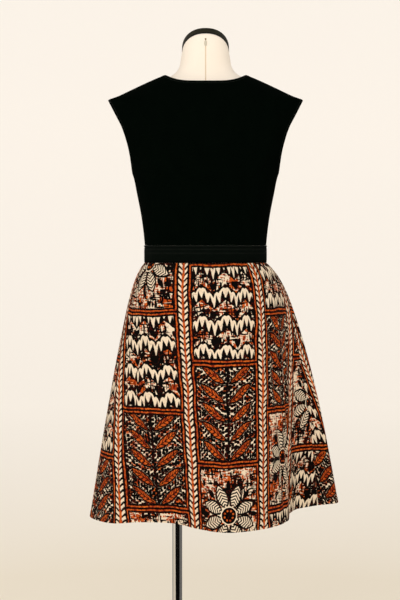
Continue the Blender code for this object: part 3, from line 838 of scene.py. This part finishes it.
def bodicePanel(side):
    name = "bodice_back" if side < 0 else "bodice_front"
    shares = spacedShares(bodice["columns"], 18, 0.075)
    start = bandTop + pieceGap
    lowRows, highRows = bodice["rows"]
    lowHeights = np.linspace(start, bodice["underarm"], lowRows, endpoint=False)
    u, height = np.meshgrid(shares, lowHeights)
    lower = bodyPoint(onSide(u * math.pi / 2, side), height)
    u, v = np.meshgrid(shares, spacedShares(highRows, 20, 0.07))
    upper = upperPoint(u, v, side)
    half = np.concatenate([lower, upper])
    half[:lowRows + 1, -1, 1] = bodice["seamGap"] * side
    half[-1, shares >= bodice["neckShare"], 1] = bodice["seamGap"] * side
    mirrored = half[:, :0:-1] * np.array([-1.0, 1.0, 1.0])
    grid = np.concatenate([mirrored, half], axis=1)
    normals = gridNormals(grid) * (1 if side < 0 else -1)
    steps = np.linalg.norm(np.diff(grid, axis=1), axis=-1)
    across = np.concatenate([np.zeros((len(grid), 1)), np.cumsum(steps, axis=1)], axis=1)
    across -= across[:, across.shape[1] // 2][:, None]
    cloth = np.stack([across, grid[..., 2] - start], -1)

    # turned and stitched edges at the neck and the sleeves
    middle = grid.shape[1] // 2
    neckColumns = int(np.searchsorted(shares, bodice["neckShare"]))
    neckEdge = evenly(grid[-1, middle - neckColumns:middle + neckColumns + 1], 0.0007)
    rightEdge = evenly(grid[lowRows:, -1], 0.0007)
    awayNeck = edgeDistance(grid, neckEdge)
    awayRight = edgeDistance(grid, rightEdge)
    awayLeft = awayRight[:, ::-1]
    away = np.minimum(awayNeck, np.minimum(awayRight, awayLeft))
    turning = bodice["turning"]
    turned = 1 - smoothStep(turning - 0.0008, turning + 0.0008, away)
    target = turning * topStitch["inTurning"]
    stitched = np.exp(-((away - target) / 0.0007) ** 2)
    rounded = np.clip(1 - away / 0.0011, 0, 1) ** 2
    rise = bodice["turningRise"] * (turned - 0.7 * stitched - rounded)

    # seams at the sides and the shoulders turn in
    sideSeam = evenly(grid[:lowRows + 1, -1], 0.0007)
    shoulderSeam = evenly(grid[-1, middle + neckColumns:], 0.0007)
    toSeam = np.minimum(edgeDistance(grid, sideSeam), edgeDistance(grid, shoulderSeam))
    toSeam = np.minimum(toSeam, toSeam[:, ::-1])
    rise = rise - seamRoll * np.exp(-(toSeam / seamWidth) ** 2)
    grid = grid + normals * (rise + bodiceCreases(grid, side))[..., None]
    mesh = gridMesh(name, grid, cloth, flip=side > 0)
    piece = addPiece(name + "_knit", mesh, knitMaterial, name)
    thicken(piece, bodiceWall)

    both = np.concatenate([grid, normals], -1)[lowRows:]
    neck = slice(middle - neckColumns + 3, middle + neckColumns - 2)
    stitchLines.append(crossing(both[:, neck], awayNeck[lowRows:, neck], target, False))
    sleeve = crossing(both[3:-4, middle:], awayRight[lowRows + 3:-4, middle:], target, True)
    stitchLines.extend([sleeve, sleeve * np.array([-1.0, 1.0, 1.0, -1.0, 1.0, 1.0])])
    return piece


# soft drag lines in the knit: x, height, length, width, lean from upright (radians), depth
bodiceFolds = {
    -1: [
        (-0.112, 1.215, 0.070, 0.012, 0.75, 0.0012), (0.112, 1.215, 0.066, 0.012, -0.75, 0.0012),
        (-0.128, 1.240, 0.055, 0.009, 0.55, 0.0009), (0.130, 1.236, 0.058, 0.009, -0.55, 0.0009),
        (-0.060, 1.075, 0.060, 0.014, 0.25, 0.0009), (0.048, 1.080, 0.055, 0.013, -0.20, 0.0009),
        (0.096, 1.070, 0.050, 0.011, -0.35, 0.0008), (-0.100, 1.066, 0.045, 0.011, 0.35, 0.0008),
        (0.005, 1.110, 0.080, 0.018, 0.05, 0.0007), (-0.165, 1.300, 0.050, 0.010, 0.95, 0.0009),
        (0.166, 1.298, 0.050, 0.010, -0.95, 0.0009),
    ],
    1: [
        (-0.110, 1.235, 0.060, 0.011, 0.95, 0.0011), (0.112, 1.232, 0.062, 0.011, -0.95, 0.0011),
        (-0.070, 1.110, 0.070, 0.014, 0.15, 0.0009), (0.066, 1.105, 0.075, 0.014, -0.12, 0.0009),
        (-0.020, 1.085, 0.055, 0.013, 0.10, 0.0007), (0.028, 1.080, 0.050, 0.013, -0.10, 0.0007),
        (-0.160, 1.300, 0.050, 0.010, 0.90, 0.0009), (0.160, 1.300, 0.050, 0.010, -0.90, 0.0009),
    ],
}


def bodiceCreases(grid, side):
    total = np.zeros(grid.shape[:2])
    x, z = grid[..., 0], grid[..., 2]
    for foldX, foldZ, length, width, lean, depth in bodiceFolds[side]:
        along = (z - foldZ) * math.cos(lean) - (x - foldX) * math.sin(lean)
        across = (x - foldX) * math.cos(lean) + (z - foldZ) * math.sin(lean)
        across = across + 0.15 * width * np.sin(along * 60 + foldX * 40)
        ridge = np.exp(-(across / width) ** 2) - 0.5 * np.exp(-((across - 1.6 * width) / width) ** 2)
        total = total + depth * ridge * np.exp(-(along / length) ** 2)
    clear = smoothStep(0.0, 0.02, z - (bandTop + pieceGap))
    return total * clear


bodiceBack = bodicePanel(-1)
bodiceFront = bodicePanel(1)
stitching = addPiece("bodice_stitching", stitchMesh("bodiceStitching", stitchLines),
                     blackThread)
print("bodice made:", len(stitching.data.polygons), "faces of stitching")


# Waistband

band = {
    "wall": 0.0026,
    "sides": 600,
    "rows": 40,
    "puckerPitch": 0.0052,
    "puckerRise": 0.0006,
    "puckerHeight": 0.007,
    "ribRise": 0.00016,
}

# share of the band's height, how far out its face stands
bandProfile = [
    (0.000, 0.0004), (0.060, 0.0010), (0.360, 0.0014), (0.600, 0.0014),
    (0.860, 0.0010), (0.900, 0.0004), (0.950, 0.0020), (1.000, 0.0014),
]


def makeBand():
    angles = np.linspace(-math.pi, math.pi, band["sides"], endpoint=False)
    shares = np.linspace(0, 1, band["rows"])
    angle, share = np.meshgrid(angles, shares)
    height = bandBottom + (bandTop - bandBottom) * share
    out = tableAt(bandProfile, 1, share)
    body = smoothStep(0.12, 0.2, share) * (1 - smoothStep(0.8, 0.86, share))
    out = out + body * band["ribRise"] * np.cos(2 * math.pi * (height - bandBottom) / elastic["rib"])
    turns = angle * waistRadius / band["puckerPitch"]
    uneven = np.sin(angle * 31) + np.sin(angle * 47 + 1)
    wave = np.cos(2 * math.pi * turns + uneven) * (0.7 + 0.3 * np.sin(angle * 23))
    low = np.exp(-(height - bandBottom) / band["puckerHeight"] * 2)
    out = out + band["puckerRise"] * wave * low
    height = height + 0.0005 * wave * low * (share < 0.3)
    x, y = ringPoint(angle, *[bodiceSections[0][k] + out for k in (1, 2, 3)])
    grid = np.stack([x, y, height], -1)
    steps = np.linalg.norm(grid - np.roll(grid, 1, axis=1), axis=-1)
    cloth = np.stack([np.cumsum(steps, axis=1), height - bandBottom], -1)
    piece = addPiece("waistband_elastic", gridMesh("waistband", grid, cloth, closed=True),
                     elasticMaterial, "waistband")
    thicken(piece, band["wall"])
    return piece


waistband = makeBand()
print("waistband made")


# Skirt

skirt = {
    "top": 1.0017,
    "hipEase": 0.028,
    "hipEaseDrift": 0.006,
    "hipEaseDepth": 0.040,
    "fullness": 0.003,         # how far the flare stands out halfway down
    "fluteFullness": 0.009,    # and how much more at the large flute
    "fluteAt": 97,
    "fluteSpread": 24,
    "gatherStart": 0.006,      # gathers open over this depth under the band
    "puckerPitch": 0.0055,     # small puckers between the gathers
    "puckerRise": 0.0006,
    "columns": 290,
    "waistCut": 0.520,         # width of each panel's cut at the waist and at the hem
    "hemCut": 0.900,
    "seamGap": 0.0002,
    "hemTurning": 0.011,
    "hemRipple": 0.0003,
}

# how far round the waist each fold's cloth starts (degrees), then the hem point: x, y, height
hemFolds = [
    (8, 0.048, -0.193, 0.4358), (30, 0.128, -0.144, 0.4350), (52, 0.178, -0.058, 0.4338),
    (70, 0.190, 0.030, 0.4345), (81, 0.211, 0.098, 0.4335), (90, 0.262, 0.122, 0.4382),
    (97, 0.306, 0.130, 0.4420), (106, 0.300, 0.176, 0.4415), (122, 0.226, 0.190, 0.4355),
    (142, 0.162, 0.234, 0.4360), (163, 0.090, 0.192, 0.4340), (184, 0.018, 0.229, 0.4360),
    (204, -0.056, 0.180, 0.4340), (224, -0.128, 0.204, 0.4360), (243, -0.184, 0.138, 0.4335),
    (258, -0.243, 0.090, 0.4345), (270, -0.258, 0.010, 0.4318), (290, -0.206, -0.078, 0.4342),
    (311, -0.140, -0.103, 0.4412), (334, -0.068, -0.112, 0.4402), (351, -0.014, -0.153, 0.4358),
]
hemSamples = 40

# gathers under the band: degrees round the waist, length, half width (degrees), rise
gathers = [
    (3, 0.055, 1.6, 0.0016), (11, 0.090, 2.2, 0.0022), (19, 0.040, 1.3, 0.0012),
    (26, 0.070, 1.8, 0.0018), (38, 0.110, 2.6, 0.0024), (45, 0.050, 1.5, 0.0014),
    (55, 0.085, 2.1, 0.0021), (62, 0.045, 1.4, 0.0013), (73, 0.095, 2.4, 0.0023),
    (82, 0.060, 1.7, 0.0016), (95, 0.075, 2.0, 0.0020), (103, 0.050, 1.5, 0.0015),
    (113, 0.105, 2.5, 0.0024), (121, 0.045, 1.4, 0.0013), (131, 0.080, 2.1, 0.0020),
    (140, 0.055, 1.6, 0.0015), (151, 0.100, 2.4, 0.0024), (158, 0.045, 1.4, 0.0012),
    (168, 0.075, 2.0, 0.0019), (179, 0.090, 2.2, 0.0021), (187, 0.050, 1.5, 0.0014),
    (198, 0.085, 2.2, 0.0021), (205, 0.045, 1.4, 0.0013), (215, 0.110, 2.5, 0.0025),
    (224, 0.055, 1.6, 0.0015), (234, 0.080, 2.0, 0.0019), (241, 0.045, 1.4, 0.0013),
    (252, 0.095, 2.3, 0.0022), (261, 0.055, 1.6, 0.0015), (272, 0.085, 2.1, 0.0020),
    (280, 0.045, 1.4, 0.0013), (290, 0.100, 2.4, 0.0023), (298, 0.055, 1.6, 0.0015),
    (309, 0.080, 2.0, 0.0019), (316, 0.045, 1.4, 0.0013), (327, 0.105, 2.4, 0.0023),
    (335, 0.055, 1.6, 0.0015), (346, 0.075, 1.9, 0.0018), (354, 0.045, 1.4, 0.0013),
]

# soft creases: degrees at their top and bottom, from and to (shares of the fall), half width (degrees), rise
creases = [
    (316, 313, 0.05, 0.80, 2.6, 0.0032), (303, 300, 0.22, 1.05, 2.4, -0.0030),
    (344, 341, 0.10, 0.66, 2.2, -0.0022), (327, 325, 0.40, 1.10, 2.2, 0.0026),
    (356, 358, 0.30, 1.10, 2.8, 0.0024), (22, 18, 0.12, 0.72, 2.3, -0.0024),
    (34, 40, 0.02, 0.62, 2.0, 0.0030), (47, 51, 0.06, 1.10, 2.4, -0.0044),
    (57, 62, 0.04, 0.92, 2.0, 0.0036), (66, 71, 0.25, 1.10, 2.2, -0.0036),
    (78, 80, 0.10, 0.70, 2.0, 0.0026), (104, 102, 0.15, 0.85, 2.4, -0.0028),
    (116, 114, 0.30, 1.10, 2.6, 0.0032), (127, 130, 0.05, 0.66, 2.4, -0.0028),
    (137, 134, 0.35, 1.10, 2.2, 0.0026), (149, 152, 0.12, 0.90, 2.5, -0.0034),
    (160, 158, 0.04, 0.60, 2.3, 0.0026), (172, 175, 0.30, 1.10, 2.6, -0.0030),
    (190, 193, 0.10, 0.78, 2.3, 0.0030), (201, 198, 0.25, 1.10, 2.2, -0.0028),
    (212, 214, 0.05, 0.60, 2.4, 0.0024), (229, 233, 0.18, 1.10, 2.6, -0.0034),
    (238, 236, 0.40, 1.10, 2.2, 0.0024), (250, 252, 0.06, 0.82, 2.4, 0.0028),
    (264, 261, 0.20, 1.10, 2.2, -0.0026), (281, 284, 0.08, 0.70, 2.4, 0.0026),
    (292, 290, 0.35, 1.10, 2.0, -0.0022),
]


def closedCurve(points, place):
    # the smooth closed curve through the points; place counts them
    count = len(points)
    i = np.floor(place).astype(int)
    t = (place - i)[:, None]
    before, start, end, after = (points[(i + k) % count] for k in (-1, 0, 1, 2))
    return 0.5 * (2 * start + (end - before) * t + (2 * before - 5 * start + 4 * end - after) * t ** 2
                  + (3 * start - before - 3 * end + after) * t ** 3)


def hemColumns(firstAngle, lastAngle, shares):
    # hem points and waist angles of columns that share a panel's hem evenly
    folds = np.array([row[1:] for row in hemFolds], float)
    angles = np.array([row[0] for row in hemFolds] + [hemFolds[0][0] + 360], float)
    places = np.arange(len(hemFolds) * hemSamples + 1) / hemSamples
    points = closedCurve(folds, places)
    turned = curveAt(np.arange(len(angles)), angles, places)
    steps = np.linalg.norm(np.diff(points, axis=0), axis=1)
    lengths = np.concatenate([[0.0], np.cumsum(steps)])
    points = np.concatenate([points, points[1:]])
    turned = np.concatenate([turned, turned[1:] + 360])
    lengths = np.concatenate([lengths, lengths[1:] + lengths[-1]])
    first = np.interp(firstAngle, turned, lengths) + skirt["seamGap"]
    last = np.interp(lastAngle, turned, lengths) - skirt["seamGap"]
    along = first + (last - first) * shares
    hem = np.stack([np.interp(along, lengths, points[:, k]) for k in range(3)], -1)
    return hem, np.radians(np.interp(along, lengths, turned)), along


def degreesAway(angle, place):
    return (np.degrees(angle) - place + 180) % 360 - 180


def skirtFolds(angle, depth, drops):
    # how far the gathers and creases push each point of the skirt out
    total = np.zeros(depth.shape)
    opening = 1 - 0.5 * np.exp(-depth / skirt["gatherStart"])
    for place, length, halfWidth, rise in gathers:
        across = (degreesAway(angle, place) / halfWidth)[None] ** 2
        total = total + rise * (1 - 0.9 * across) * np.exp(-across) * np.exp(-depth / length) * opening
    for top, bottom, start, end, halfWidth, rise in creases:
        place = top + (bottom - top) * drops
        across = degreesAway(angle[None], place) / halfWidth
        reach = smoothStep(start, start + 0.22, drops) * (1 - smoothStep(end - 0.22, end, drops))
        total = total + rise * reach * (np.exp(-across ** 2) - 0.25 * np.exp(-(across - 1.8) ** 2)
                                        - 0.25 * np.exp(-(across + 1.8) ** 2))
    return total


def skirtPanel(name, firstAngle, lastAngle, printStart):
    # closer columns at the side seams, and closer rows under the band and at the hem
    edge = np.array([0, 0.0008, 0.0016, 0.0026, 0.0040, 0.0060])
    shares = np.concatenate([edge, np.linspace(0.009, 0.991, skirt["columns"]), 1 - edge[::-1]])
    hem, angle, along = hemColumns(firstAngle, lastAngle, shares)
    fall = skirt["top"] - hem[:, 2]
    drops = np.concatenate([np.linspace(0, 0.04, 16, endpoint=False),
                            np.linspace(0.04, 0.972, 106, endpoint=False),
                            np.linspace(0.972, 1, 18)])[:, None]
    depth = drops * fall[None]
    share = drops[..., None]
    x, y = ringPoint(angle, *bodiceSections[0][1:])
    waist = np.stack([x, y, np.full_like(x, skirt["top"])], -1)
    outward = np.stack([np.sin(angle), -np.cos(angle), np.zeros_like(angle)], -1)
    ease = (skirt["hipEase"] + skirt["hipEaseDrift"] * np.sin(angle))[:, None]
    target = hem - outward * ease
    grid = waist + (target - waist) * share
    grid = grid + outward * ease * (1 - np.exp(-depth / skirt["hipEaseDepth"]))[..., None]
    flute = np.exp(-(degreesAway(angle, skirt["fluteAt"]) / skirt["fluteSpread"]) ** 2)
    full = skirt["fullness"] + skirt["fluteFullness"] * flute
    grid = grid + (outward * full[:, None])[None] * np.sin(math.pi * share)
    out = skirtFolds(angle, depth, drops)
    turns = angle * waistRadius / skirt["puckerPitch"] + 0.4 * np.sin(angle * 29)
    turns = turns + 0.3 * np.sin(angle * 41 + 2)
    pucker = np.sin(2 * math.pi * turns) * (0.6 + 0.4 * np.sin(angle * 17 + 1))
    out = out + skirt["puckerRise"] * pucker * np.exp(-depth / 0.009)
    grid = grid + outward * out[..., None]

    # the turned and stitched hem, rippled a little by its stitching, and the side seams
    normals = gridNormals(grid[::-1])[::-1]
    up = fall[None] - depth
    stitchHeight = skirt["hemTurning"] * 0.6
    turned = 1 - smoothStep(skirt["hemTurning"] - 0.0008, skirt["hemTurning"] + 0.0008, up)
    stitched = np.exp(-((up - stitchHeight) / 0.0008) ** 2)
    ripple = np.sin(along / 0.0021 + 2.2 * np.sin(along * 37)) * (0.6 + 0.4 * np.sin(along * 23))
    rise = 0.0005 * turned - 0.0004 * stitched + skirt["hemRipple"] * ripple * np.exp(-up / 0.010)
    cut = skirt["waistCut"] + (skirt["hemCut"] - skirt["waistCut"]) * drops
    toSeam = np.minimum(shares, 1 - shares)[None] * cut
    rise = rise - seamRoll * np.exp(-(toSeam / seamWidth) ** 2)
    grid = grid + normals * rise[..., None]

    # the flat cloth: its grain runs straight down from the middle of the waist
    middle = math.radians((firstAngle + lastAngle) / 2)
    fromMiddle = along - np.interp(middle, angle, along)
    waistArc = (shares - np.interp(middle, angle, shares)) * skirt["waistCut"]
    cloth = np.stack([waistArc + (fromMiddle - waistArc) * drops + printStart, -depth], -1)
    mesh = gridMesh(name, grid[::-1], cloth[::-1])
    piece = addPiece(name + "_cotton", mesh, [printMaterial, reverseMaterial], name)
    thicken(piece, skirtWall, inside=1, edgeRound=0.0003)
    hemLines.append(crossing(np.concatenate([grid, normals], -1), up, stitchHeight, False)[4:-4])
    return piece


hemLines = []
skirtBack = skirtPanel("skirt_back", 270, 450, 0.052)
skirtFront = skirtPanel("skirt_front", 450, 630, 0.121)
hemStitching = addPiece("hem_stitching", stitchMesh("hemStitching", hemLines), rustThread)
print("skirt made:", len(hemStitching.data.polygons), "faces of stitching")


# Dress form

form = {
    "sides": 216,
    "rows": 250,
    "seamWidth": 0.0024,       # half the width of the pressed seam
    "seamRise": 0.0003,
    "seamDepth": 0.0006,
    "seamGroove": 0.0006,      # half the width of the line down its middle
    "wrapRadius": 0.055,       # the canvas is laid flat as if off a tube of this radius
    "tackHeight": 1.4880,
    "tackRadius": 0.0021,
    "tabDrop": 0.008,          # from the tack down to the tab
    "tabSize": (0.0031, 0.0066),
    "capThickness": 0.018,
    "capOverhang": 0.0006,
    "capRound": 0.004,
    "poleX": -0.063,
    "poleRadius": 0.011,
    "poleEnds": (0.0063, 0.7894),
    "poleEdge": 0.0006,
}

# height on the axis, half width, depth of the back, depth of the front, rise of the back per metre
formSections = [
    (0.8000, 0.1480, 0.0950, 0.0900, 0.0), (0.8080, 0.1550, 0.1010, 0.0960, 0.0),
    (0.8600, 0.1600, 0.1060, 0.1000, 0.0), (0.9200, 0.1530, 0.1030, 0.0990, 0.0),
    (0.9700, 0.1375, 0.0965, 0.0970, 0.0), (1.0000, 0.1305, 0.0930, 0.0990, 0.0),
    (1.0210, 0.1300, 0.0935, 0.1010, 0.0), (1.0600, 0.1305, 0.0940, 0.1045, 0.0),
    (1.1000, 0.1370, 0.0965, 0.1095, 0.0), (1.1500, 0.1480, 0.1015, 0.1180, 0.0),
    (1.2000, 0.1590, 0.1055, 0.1235, 0.0), (1.2400, 0.1630, 0.1060, 0.1215, 0.0),
    (1.2900, 0.1690, 0.1030, 0.1140, 0.0), (1.3300, 0.1760, 0.0970, 0.1020, 0.0),
    (1.3500, 0.1790, 0.0910, 0.0900, 0.0), (1.3635, 0.1765, 0.0860, 0.0820, 0.0),
    (1.3740, 0.1635, 0.0790, 0.0715, 0.0), (1.3875, 0.1440, 0.0710, 0.0590, 0.0),
    (1.4005, 0.1105, 0.0635, 0.0480, 0.0), (1.4125, 0.0770, 0.0560, 0.0445, 0.04),
    (1.4222, 0.0635, 0.0550, 0.0500, 0.16), (1.4338, 0.0570, 0.0550, 0.0540, 0.36),
    (1.4470, 0.0545, 0.0545, 0.0540, 0.56), (1.4625, 0.0515, 0.0535, 0.0530, 0.70),
]


def closeEnds(mesh, sides, first=True, last=True):
    # flat faces over the first and the last ring
    shell = bmesh.new()
    shell.from_mesh(mesh)
    shell.verts.ensure_lookup_table()
    count = len(shell.verts)
    if first:
        shell.faces.new([shell.verts[i] for i in range(sides)][::-1])
    if last:
        shell.faces.new([shell.verts[count - sides + i] for i in range(sides)])
    bmesh.ops.recalc_face_normals(shell, faces=shell.faces)
    shell.to_mesh(mesh)
    shell.free()
    return mesh


def addTurned(name, rings, material, replaces=None, cloth=None):
    # a closed piece through rings of points
    mesh = gridMesh(name, np.array(rings), cloth, closed=True)
    return addPiece(name, closeEnds(mesh, len(rings[0])), material, replaces)


def formPoint(angle, height):
    halfWidth, back, front, slope = (tableAt(formSections, k, height) for k in (1, 2, 3, 4))
    x, y = ringPoint(angle, halfWidth, back, front)
    y = y + np.where(y > 0, bust(x, height) * y / front, 0)
    return np.stack([x, y, height - slope * y], -1)


def makeTorso():
    heights = np.linspace(formSections[0][0], formSections[-1][0], form["rows"])
    even = np.linspace(-math.pi, math.pi, form["sides"], endpoint=False)
    fine = np.linspace(0, 0.08, 14)            # closer columns at the pressed seams
    angles = np.concatenate([even, fine, -fine, math.pi - fine[1:], fine - math.pi])
    angles = np.unique(np.round(angles, 5))
    angle, height = np.meshgrid(angles, heights)
    grid = formPoint(angle, height)
    toSeam = np.abs(grid[..., 0])
    pressed = 1 - smoothStep(form["seamWidth"] * 0.7, form["seamWidth"], toSeam)
    rise = form["seamRise"] * pressed - form["seamDepth"] * np.exp(-(toSeam / form["seamGroove"]) ** 2)
    nearTop = smoothStep(0.003, 0.008, formSections[-1][0] - height)
    grid = grid + gridNormals(grid, closed=True) * (rise * nearTop)[..., None]
    cloth = np.stack([angle * form["wrapRadius"], height, toSeam], -1)
    addTurned("form_torso_canvas", grid, canvasMaterial, "form_torso", cloth)


def makeTack():
    # a domed tack at the top of the back seam, over a small pale tab
    heights = np.linspace(1.43, formSections[-1][0], 400)
    backs = formPoint(np.zeros_like(heights), heights)
    place = backs[np.argmin(np.abs(backs[:, 2] - form["tackHeight"]))]
    below = backs[np.argmin(np.abs(backs[:, 2] - form["tackHeight"] + form["tabDrop"]))]
    side = np.array([1.0, 0, 0])
    up = unit(place - below)
    out = np.cross(side, up)
    turns = np.linspace(0, 2 * math.pi, 32, endpoint=False)
    across, along = np.cos(turns)[:, None], np.sin(turns)[:, None]
    around = side * across + up * along
    dome = [place + form["tackRadius"] * (math.sin(t) * around + 0.55 * math.cos(t) * out)
            for t in np.linspace(0.05, math.pi / 2 + 0.3, 12)]
    addTurned("form_tack", dome, tackMaterial)

    # the tab's outline goes round a rounded slot, and its face is slightly domed
    halfWidth, halfLength = form["tabSize"]
    outline = side * across * halfWidth + up * np.sign(along) * np.abs(along) ** 0.7 * halfLength
    tab = [below - up * 0.001 + outline * scale + out * lift for scale, lift in
           ((1.0, -0.0003), (1.0, 0.0004), (0.86, 0.0008), (0.5, 0.0010), (0.05, 0.0010))]
    addTurned("form_tab", tab, tapeMaterial)


def makeCap():
    sides = 160
    top = formSections[-1]
    tilt = math.atan(top[4])
    depth = (top[2] + top[3]) / 2
    middleY = (top[3] - top[2]) / 2
    wide = top[1] + form["capOverhang"]
    deep = depth / math.cos(tilt) + form["capOverhang"]
    angle = np.linspace(-math.pi, math.pi, sides, endpoint=False)
    curve = form["capRound"]
    profile = [(0.0012, 0.0), (0.0003, 0.0004), (0.0, 0.0012)]
    profile += [(0.0, height) for height in np.linspace(0.003, form["capThickness"] - curve, 8)]
    profile += [(curve * (1 - math.cos(t)), form["capThickness"] - curve * (1 - math.sin(t)))
                for t in np.linspace(0.15, math.pi / 2, 9)]
    profile += [(inset, form["capThickness"] + 0.0012 * (inset / deep) ** 0.7)
                for inset in np.linspace(0.007, 0.049, 12)]
    rings = []
    cloth = []
    for inset, height in profile:
        x, y = ringPoint(angle, wide - inset, deep - inset, deep - inset)
        rings.append(np.stack([x, y, np.full(sides, height + pieceGap)], -1))
        cloth.append(np.stack([np.sin(angle / 2) * 0.3, np.full(sides, height + inset)], -1))
    turned = np.array(Euler((-tilt, 0, 0)).to_matrix())
    centre = np.array([0, middleY, top[0] - top[4] * middleY])
    rings = np.array(rings) @ turned.T + centre
    addTurned("neck_cap_painted", rings, capMaterial, "neck_cap", np.array(cloth))


def makePole():
    sides = 96
    angle = np.linspace(-math.pi, math.pi, sides, endpoint=False)
    low, high = form["poleEnds"]
    edge = form["poleEdge"]
    ends = ((low, edge), (low + edge, 0), ((low + high) / 2, 0), (high - edge, 0), (high, edge))
    rings = []
    for height, inset in ends:
        radius = form["poleRadius"] - inset
        rings.append(np.stack([form["poleX"] + radius * np.sin(angle), -radius * np.cos(angle),
                               np.full(sides, height)], -1))
    addTurned("pole_polished", rings, chromeMaterial, "pole")


makeTorso()
makeTack()
makeCap()
makePole()
for node, material in (("torso_plate", boardMaterial), ("pole_collar", steelMaterial),
                       ("base_socket", steelMaterial), ("base_plate", steelMaterial)):
    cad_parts[node].data.materials.clear()
    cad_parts[node].data.materials.append(material)
print("dress form made")


# Camera, light and floor

stage = {
    # colours of the wall's painted glow, at the top and low down
    "wallTop": (0.985, 0.945, 0.90),
    "wallLow": (0.76, 0.665, 0.51),
    "wallPaint": (0.46, 0.43, 0.39),
    "wallGlow": 0.62,
    "world": 0.55,
    "camera": (-0.0122, -3.2, 1.03),
    "cameraDown": 1.99,            # how far it looks down (degrees)
    "lens": 86.4,
    "key": 62,
    "keyPlace": (-0.8, -3.9, 2.8),
    "keySize": (3.0, 2.2),
    "cards": [(-165, -112, 0.40), (-46, 56, 0.003), (56, 165, 0.24)],  # from and to (degrees), how light
    "floorRadius": 6.5,            # where the floor starts to curve up into the wall
    "wallCurve": 2.0,
    "wallHeight": 5.0,
}


def aimCamera():
    data = bpy.data.cameras.new("camera")
    camera = bpy.data.objects.new("camera", data)
    bpy.context.scene.collection.objects.link(camera)
    camera.location = stage["camera"]
    camera.rotation_euler = Euler((math.radians(90 - stage["cameraDown"]), 0, 0))
    data.lens = stage["lens"]
    data.sensor_width = 36
    bpy.context.scene.camera = camera


def addLight(name, place, target, energy, size, colour=(1, 1, 1)):
    data = bpy.data.lights.new(name, "AREA")
    data.energy = energy
    data.color = colour
    data.shape = "RECTANGLE"
    data.size, data.size_y = size
    light = bpy.data.objects.new(name, data)
    bpy.context.scene.collection.objects.link(light)
    light.location = place
    light.rotation_euler = (Vector(target) - Vector(place)).to_track_quat("-Z", "Y").to_euler()
    return light


def makeWall():
    # pale paint under a glow; the glow is painted light, lighter at the top and warmer and darker towards the
    # floor
    material, tree, shader = newMaterial("paleWall", 0.95, specular=0.1)
    x, y, z = objectPlace(tree)
    tone = noise([x / 1.6, y / 1.6, z / 1.6], detail=3.0) * 0.10 - 0.05
    away = (((x * x + y * y) ** 0.5 - 1.4) * 0.25 + z + tone).most(0.0)
    colour = paint(tree, stage["wallLow"], (stage["wallTop"], away / (away + 0.5)))
    shader.inputs["Base Color"].default_value = (*stage["wallPaint"], 1)
    # the wall's glow is painted light
    feed(tree, colour, shader.inputs["Emission Color"])
    shader.inputs["Emission Strength"].default_value = stage["wallGlow"]
    return material


def makeStage():
    world = bpy.data.worlds.new("studio")
    bpy.context.scene.world = world
    world.use_nodes = True
    background = world.node_tree.nodes["Background"]
    background.inputs[0].default_value = (1.0, 0.97, 0.92, 1)
    background.inputs[1].default_value = stage["world"]
    radius, curve, low = stage["floorRadius"], stage["wallCurve"], -0.0005
    profile = [(radius, low)]
    profile += [(radius + curve * math.sin(a), curve - curve * math.cos(a) + low)
                for a in np.linspace(0.1, math.pi / 2, 12)]
    profile += [(radius + curve, stage["wallHeight"])]
    angles = np.linspace(0, 2 * math.pi, 96, endpoint=False)
    grid = np.array([[(r * math.cos(a), r * math.sin(a), z) for a in angles] for r, z in profile])
    mesh = gridMesh("floor", grid, closed=True, flip=True)
    floor = bpy.data.objects.new("floor", closeEnds(mesh, len(angles), last=False))
    floor.data.materials.append(makeWall())
    bpy.context.scene.collection.objects.link(floor)

    # cards on the floor and behind the camera, seen only in the polished pole
    for first, last, tone in stage["cards"]:
        angle = np.radians(np.linspace(first, last, 12))
        rings = ((0.25, 0.004), (5.6, 0.004), (5.6, 3.4))
        grid = np.array([[(r * math.sin(a), -r * math.cos(a), z) for a in angle] for r, z in rings])
        card = bpy.data.objects.new("card", gridMesh("card", grid))
        material, tree, shader = newMaterial("card", 0.9)
        shader.inputs["Base Color"].default_value = (tone, tone, tone, 1)
        shader.inputs["Specular IOR Level"].default_value = 0
        card.data.materials.append(material)
        card.visible_camera = False
        card.visible_diffuse = False
        card.visible_shadow = False
        bpy.context.scene.collection.objects.link(card)


aimCamera()
makeStage()
addLight("key", stage["keyPlace"], (0, 0, 1.0), stage["key"], stage["keySize"], (1.0, 0.98, 0.95))
bpy.context.scene.view_settings.view_transform = "Standard"
print("stage set")
